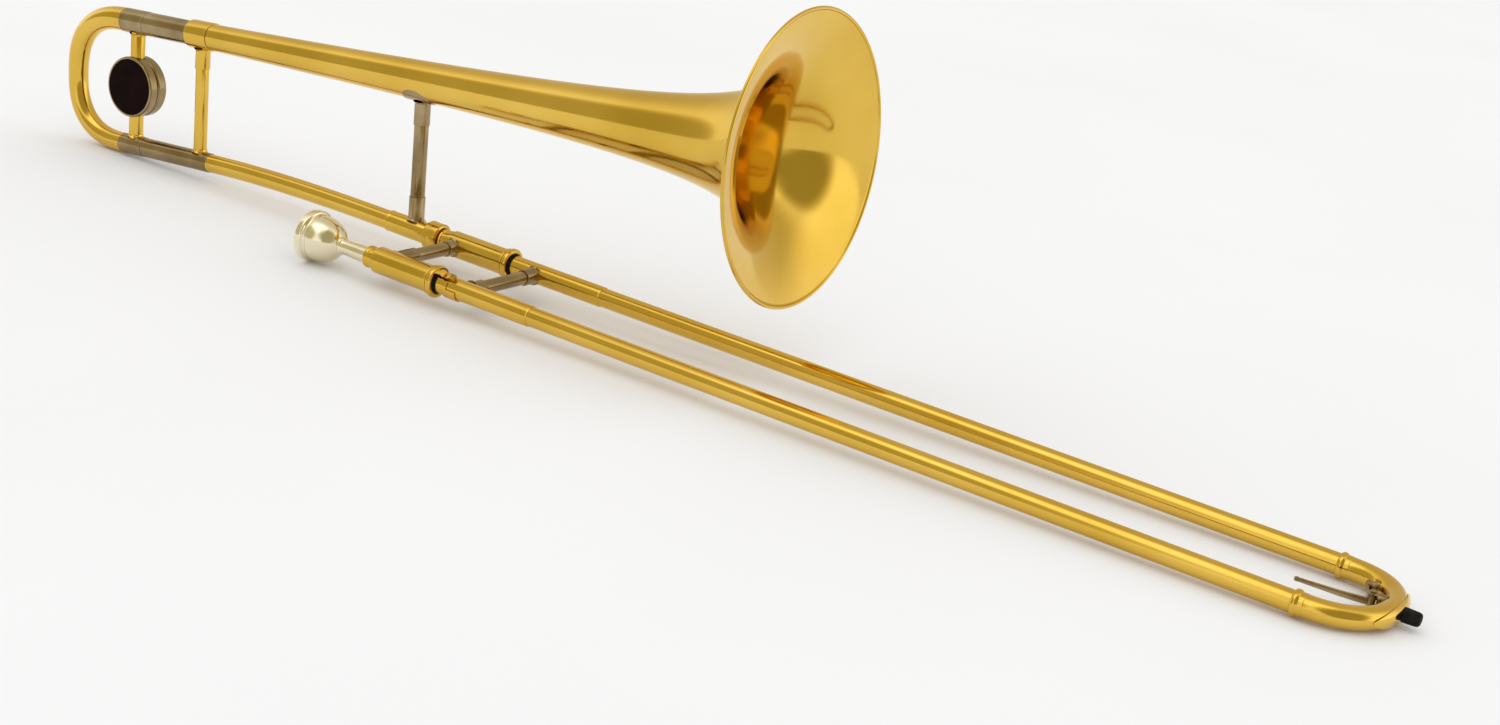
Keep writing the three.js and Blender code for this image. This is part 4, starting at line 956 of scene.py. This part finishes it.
def make_weight(body):
    s = WEIGHT_BRACE_S
    rod_r = 5.9
    rod = pipe(BOW_R["upper"] - 2, LEG_SPACING - BOW_R["lower"] + 2, rod_r, 5.0, SMALL_SIDES)
    top = hanging_socket(s, BOW_R["upper"], 1.6, rod_r + 0.3, rod_r - 0.2, 1.1)
    foot = rising_socket(s, BOW_R["lower"], LEG_SPACING, 1.6, rod_r + 0.3, rod_r - 0.2, 1.1)
    piece("weight_brace", body, "brass", moved(rod, BELL, hanging(s)), top, foot)
    edge, radius = WEIGHT_HALF_THICKNESS, WEIGHT_R
    recess = radius - 2
    half = turned(
        [(0.35, radius - 1.2), (1.1, radius - 0.3), (2.2, radius), (edge - 1.6, radius),
         (edge - 0.5, radius - 0.3), (edge, radius - 1.0), (edge, recess), (edge - 1.5, recess)],
        sides=WEIGHT_SIDES, edge=0.3)
    plate = turned(
        [(edge - 1.6, recess + 0.1), (edge - 0.9, recess + 0.1), (edge - 0.55, recess - 0.5)],
        sides=WEIGHT_SIDES, edge=0.4)
    for side, sign in (("front", -1), ("back", 1)):
        facing = Matrix.Translation((s, 0, -WEIGHT_DROP)) @ Matrix.Rotation(sign * math.pi / 2, 4, "Z")
        piece(f"weight_half_{side}", body, "nickel_silver", moved(half, BELL, facing))
        piece(f"weight_plate_{side}", body, "black_enamel", moved(plate, BELL, facing))


# ---------------------------------------------------------------- studio
# The photo's camera, in the working frame.
CAMERA_AT = Vector((944.839, -1350.031, 494.720))
CAMERA_RIGHT = Vector((0.83263, 0.52715, 0.16978))
CAMERA_FORWARD = Vector((-0.46278, 0.83066, -0.30957))
CAMERA_LENS = 54.613
SENSOR_WIDTH = 36.0
FLOOR_R = 30.0                     # metres
FLOOR_DROP = 0.0005                # metres, so that the floor never cuts what rests on it
TENT_STRENGTH = 1.1
# Dim patches of the light tent: a direction, the cosines where it fades in and is full, and its colours.
DIM_PATCHES = (
    ((-0.64, -0.70, 0.30), (0.80, 0.93), (0.70, 0.65, 0.48), (0.48, 0.44, 0.26)),
    ((0.66, -0.55, 0.50), (0.68, 0.89), (0.66, 0.62, 0.45), (0.38, 0.35, 0.19)),
    ((-0.20, 0.75, 0.60), (0.35, 0.88), (0.80, 0.76, 0.66), (0.60, 0.55, 0.42)),
)
# Bright patches: a direction, the two cosines and the added strength.
BRIGHT_PATCHES = (
    ((0.88, 0.40, 0.20), (0.78, 0.97), 0.30),
    ((-0.10, -0.42, 0.90), (0.84, 0.98), 0.45),
)


def make_camera():
    data = bpy.data.cameras.new("camera")
    data.lens = CAMERA_LENS
    data.sensor_width = SENSOR_WIDTH
    data.clip_start = 0.05
    data.clip_end = 100.0
    camera = bpy.data.objects.new("camera", data)
    bpy.context.scene.collection.objects.link(camera)
    up = CAMERA_RIGHT.cross(CAMERA_FORWARD).normalized()
    turn = Matrix((CAMERA_RIGHT.normalized(), up, -CAMERA_FORWARD.normalized())).transposed()
    pitched = Matrix.Rotation(REST_PITCH, 3, "Y") @ turn
    camera.location = PLACE @ CAMERA_AT
    camera.rotation_euler = pitched.to_euler()
    bpy.context.scene.camera = camera


def make_floor():
    mesh = bpy.data.meshes.new("floor")
    sculpt = bmesh.new()
    bmesh.ops.create_circle(sculpt, cap_ends=True, segments=96, radius=FLOOR_R)
    sculpt.to_mesh(mesh)
    sculpt.free()
    floor = bpy.data.objects.new("floor", mesh)
    floor.location.z = -FLOOR_DROP
    bpy.context.scene.collection.objects.link(floor)
    look = Look("floor", Roughness=0.85)
    look.paint(look.ramp(look.noise(1.5), (0.3, shade(0.84, 0.84, 0.84)), (0.7, shade(0.87, 0.87, 0.87))))
    mesh.materials.append(look.material)


def make_world():
    """A white light tent whose dim and bright patches show only as reflections in the metal."""
    world = bpy.data.worlds.new("studio")
    bpy.context.scene.world = world
    world.use_nodes = True
    nodes, links = world.node_tree.nodes, world.node_tree.links

    def towards(direction, start, end, high):
        """How near a ray lies to a direction, as 0 to high between two cosines."""
        place = nodes.new("ShaderNodeTexCoord")
        near = nodes.new("ShaderNodeVectorMath")
        near.operation = "DOT_PRODUCT"
        near.inputs[1].default_value = Vector(direction).normalized()
        spread = nodes.new("ShaderNodeMapRange")
        spread.interpolation_type = "SMOOTHSTEP"
        spread.inputs["From Min"].default_value = start
        spread.inputs["From Max"].default_value = end
        spread.inputs["To Min"].default_value = 0.0
        spread.inputs["To Max"].default_value = high
        links.new(place.outputs["Generated"], near.inputs[0])
        links.new(near.outputs["Value"], spread.inputs["Value"])
        return spread.outputs["Result"]

    def chained(kind, operation, first, second):
        """A maths node of the given kind over two outputs."""
        step = nodes.new(kind)
        step.operation = operation
        links.new(first, step.inputs[0])
        links.new(second, step.inputs[1])
        return step.outputs[0]

    colour = None
    for direction, cosines, half_tint, full_tint in DIM_PATCHES:
        ramp = nodes.new("ShaderNodeValToRGB")
        elements = ramp.color_ramp.elements
        elements[0].color, elements[1].color = shade(1.0, 1.0, 1.0), shade(*full_tint)
        elements.new(0.5).color = shade(*half_tint)
        links.new(towards(direction, *cosines, 1.0), ramp.inputs["Fac"])
        tint = ramp.outputs["Color"]
        colour = chained("ShaderNodeVectorMath", "MULTIPLY", colour, tint) if colour else tint
    steady = nodes.new("ShaderNodeValue")
    steady.outputs[0].default_value = TENT_STRENGTH
    strength = steady.outputs[0]
    for direction, cosines, added in BRIGHT_PATCHES:
        strength = chained("ShaderNodeMath", "ADD", strength, towards(direction, *cosines, added))
    tent = nodes["Background"]
    links.new(colour, tent.inputs["Color"])
    links.new(strength, tent.inputs["Strength"])
    plain = nodes.new("ShaderNodeBackground")
    plain.inputs["Color"].default_value = shade(1.0, 1.0, 1.0)
    plain.inputs["Strength"].default_value = TENT_STRENGTH
    ray = nodes.new("ShaderNodeLightPath")
    mix = nodes.new("ShaderNodeMixShader")
    links.new(ray.outputs["Is Glossy Ray"], mix.inputs["Fac"])
    links.new(plain.outputs["Background"], mix.inputs[1])
    links.new(tent.outputs["Background"], mix.inputs[2])
    links.new(mix.outputs["Shader"], nodes["World Output"].inputs["Surface"])


def make_studio():
    make_camera()
    make_floor()
    make_world()
    bpy.context.scene.view_settings.view_transform = "Standard"


make_inner_slide()
make_slide_lock()
make_outer_slide()
make_mouthpiece()
make_bell_section()
make_lock_nut()
make_tuning_slide()
make_studio()
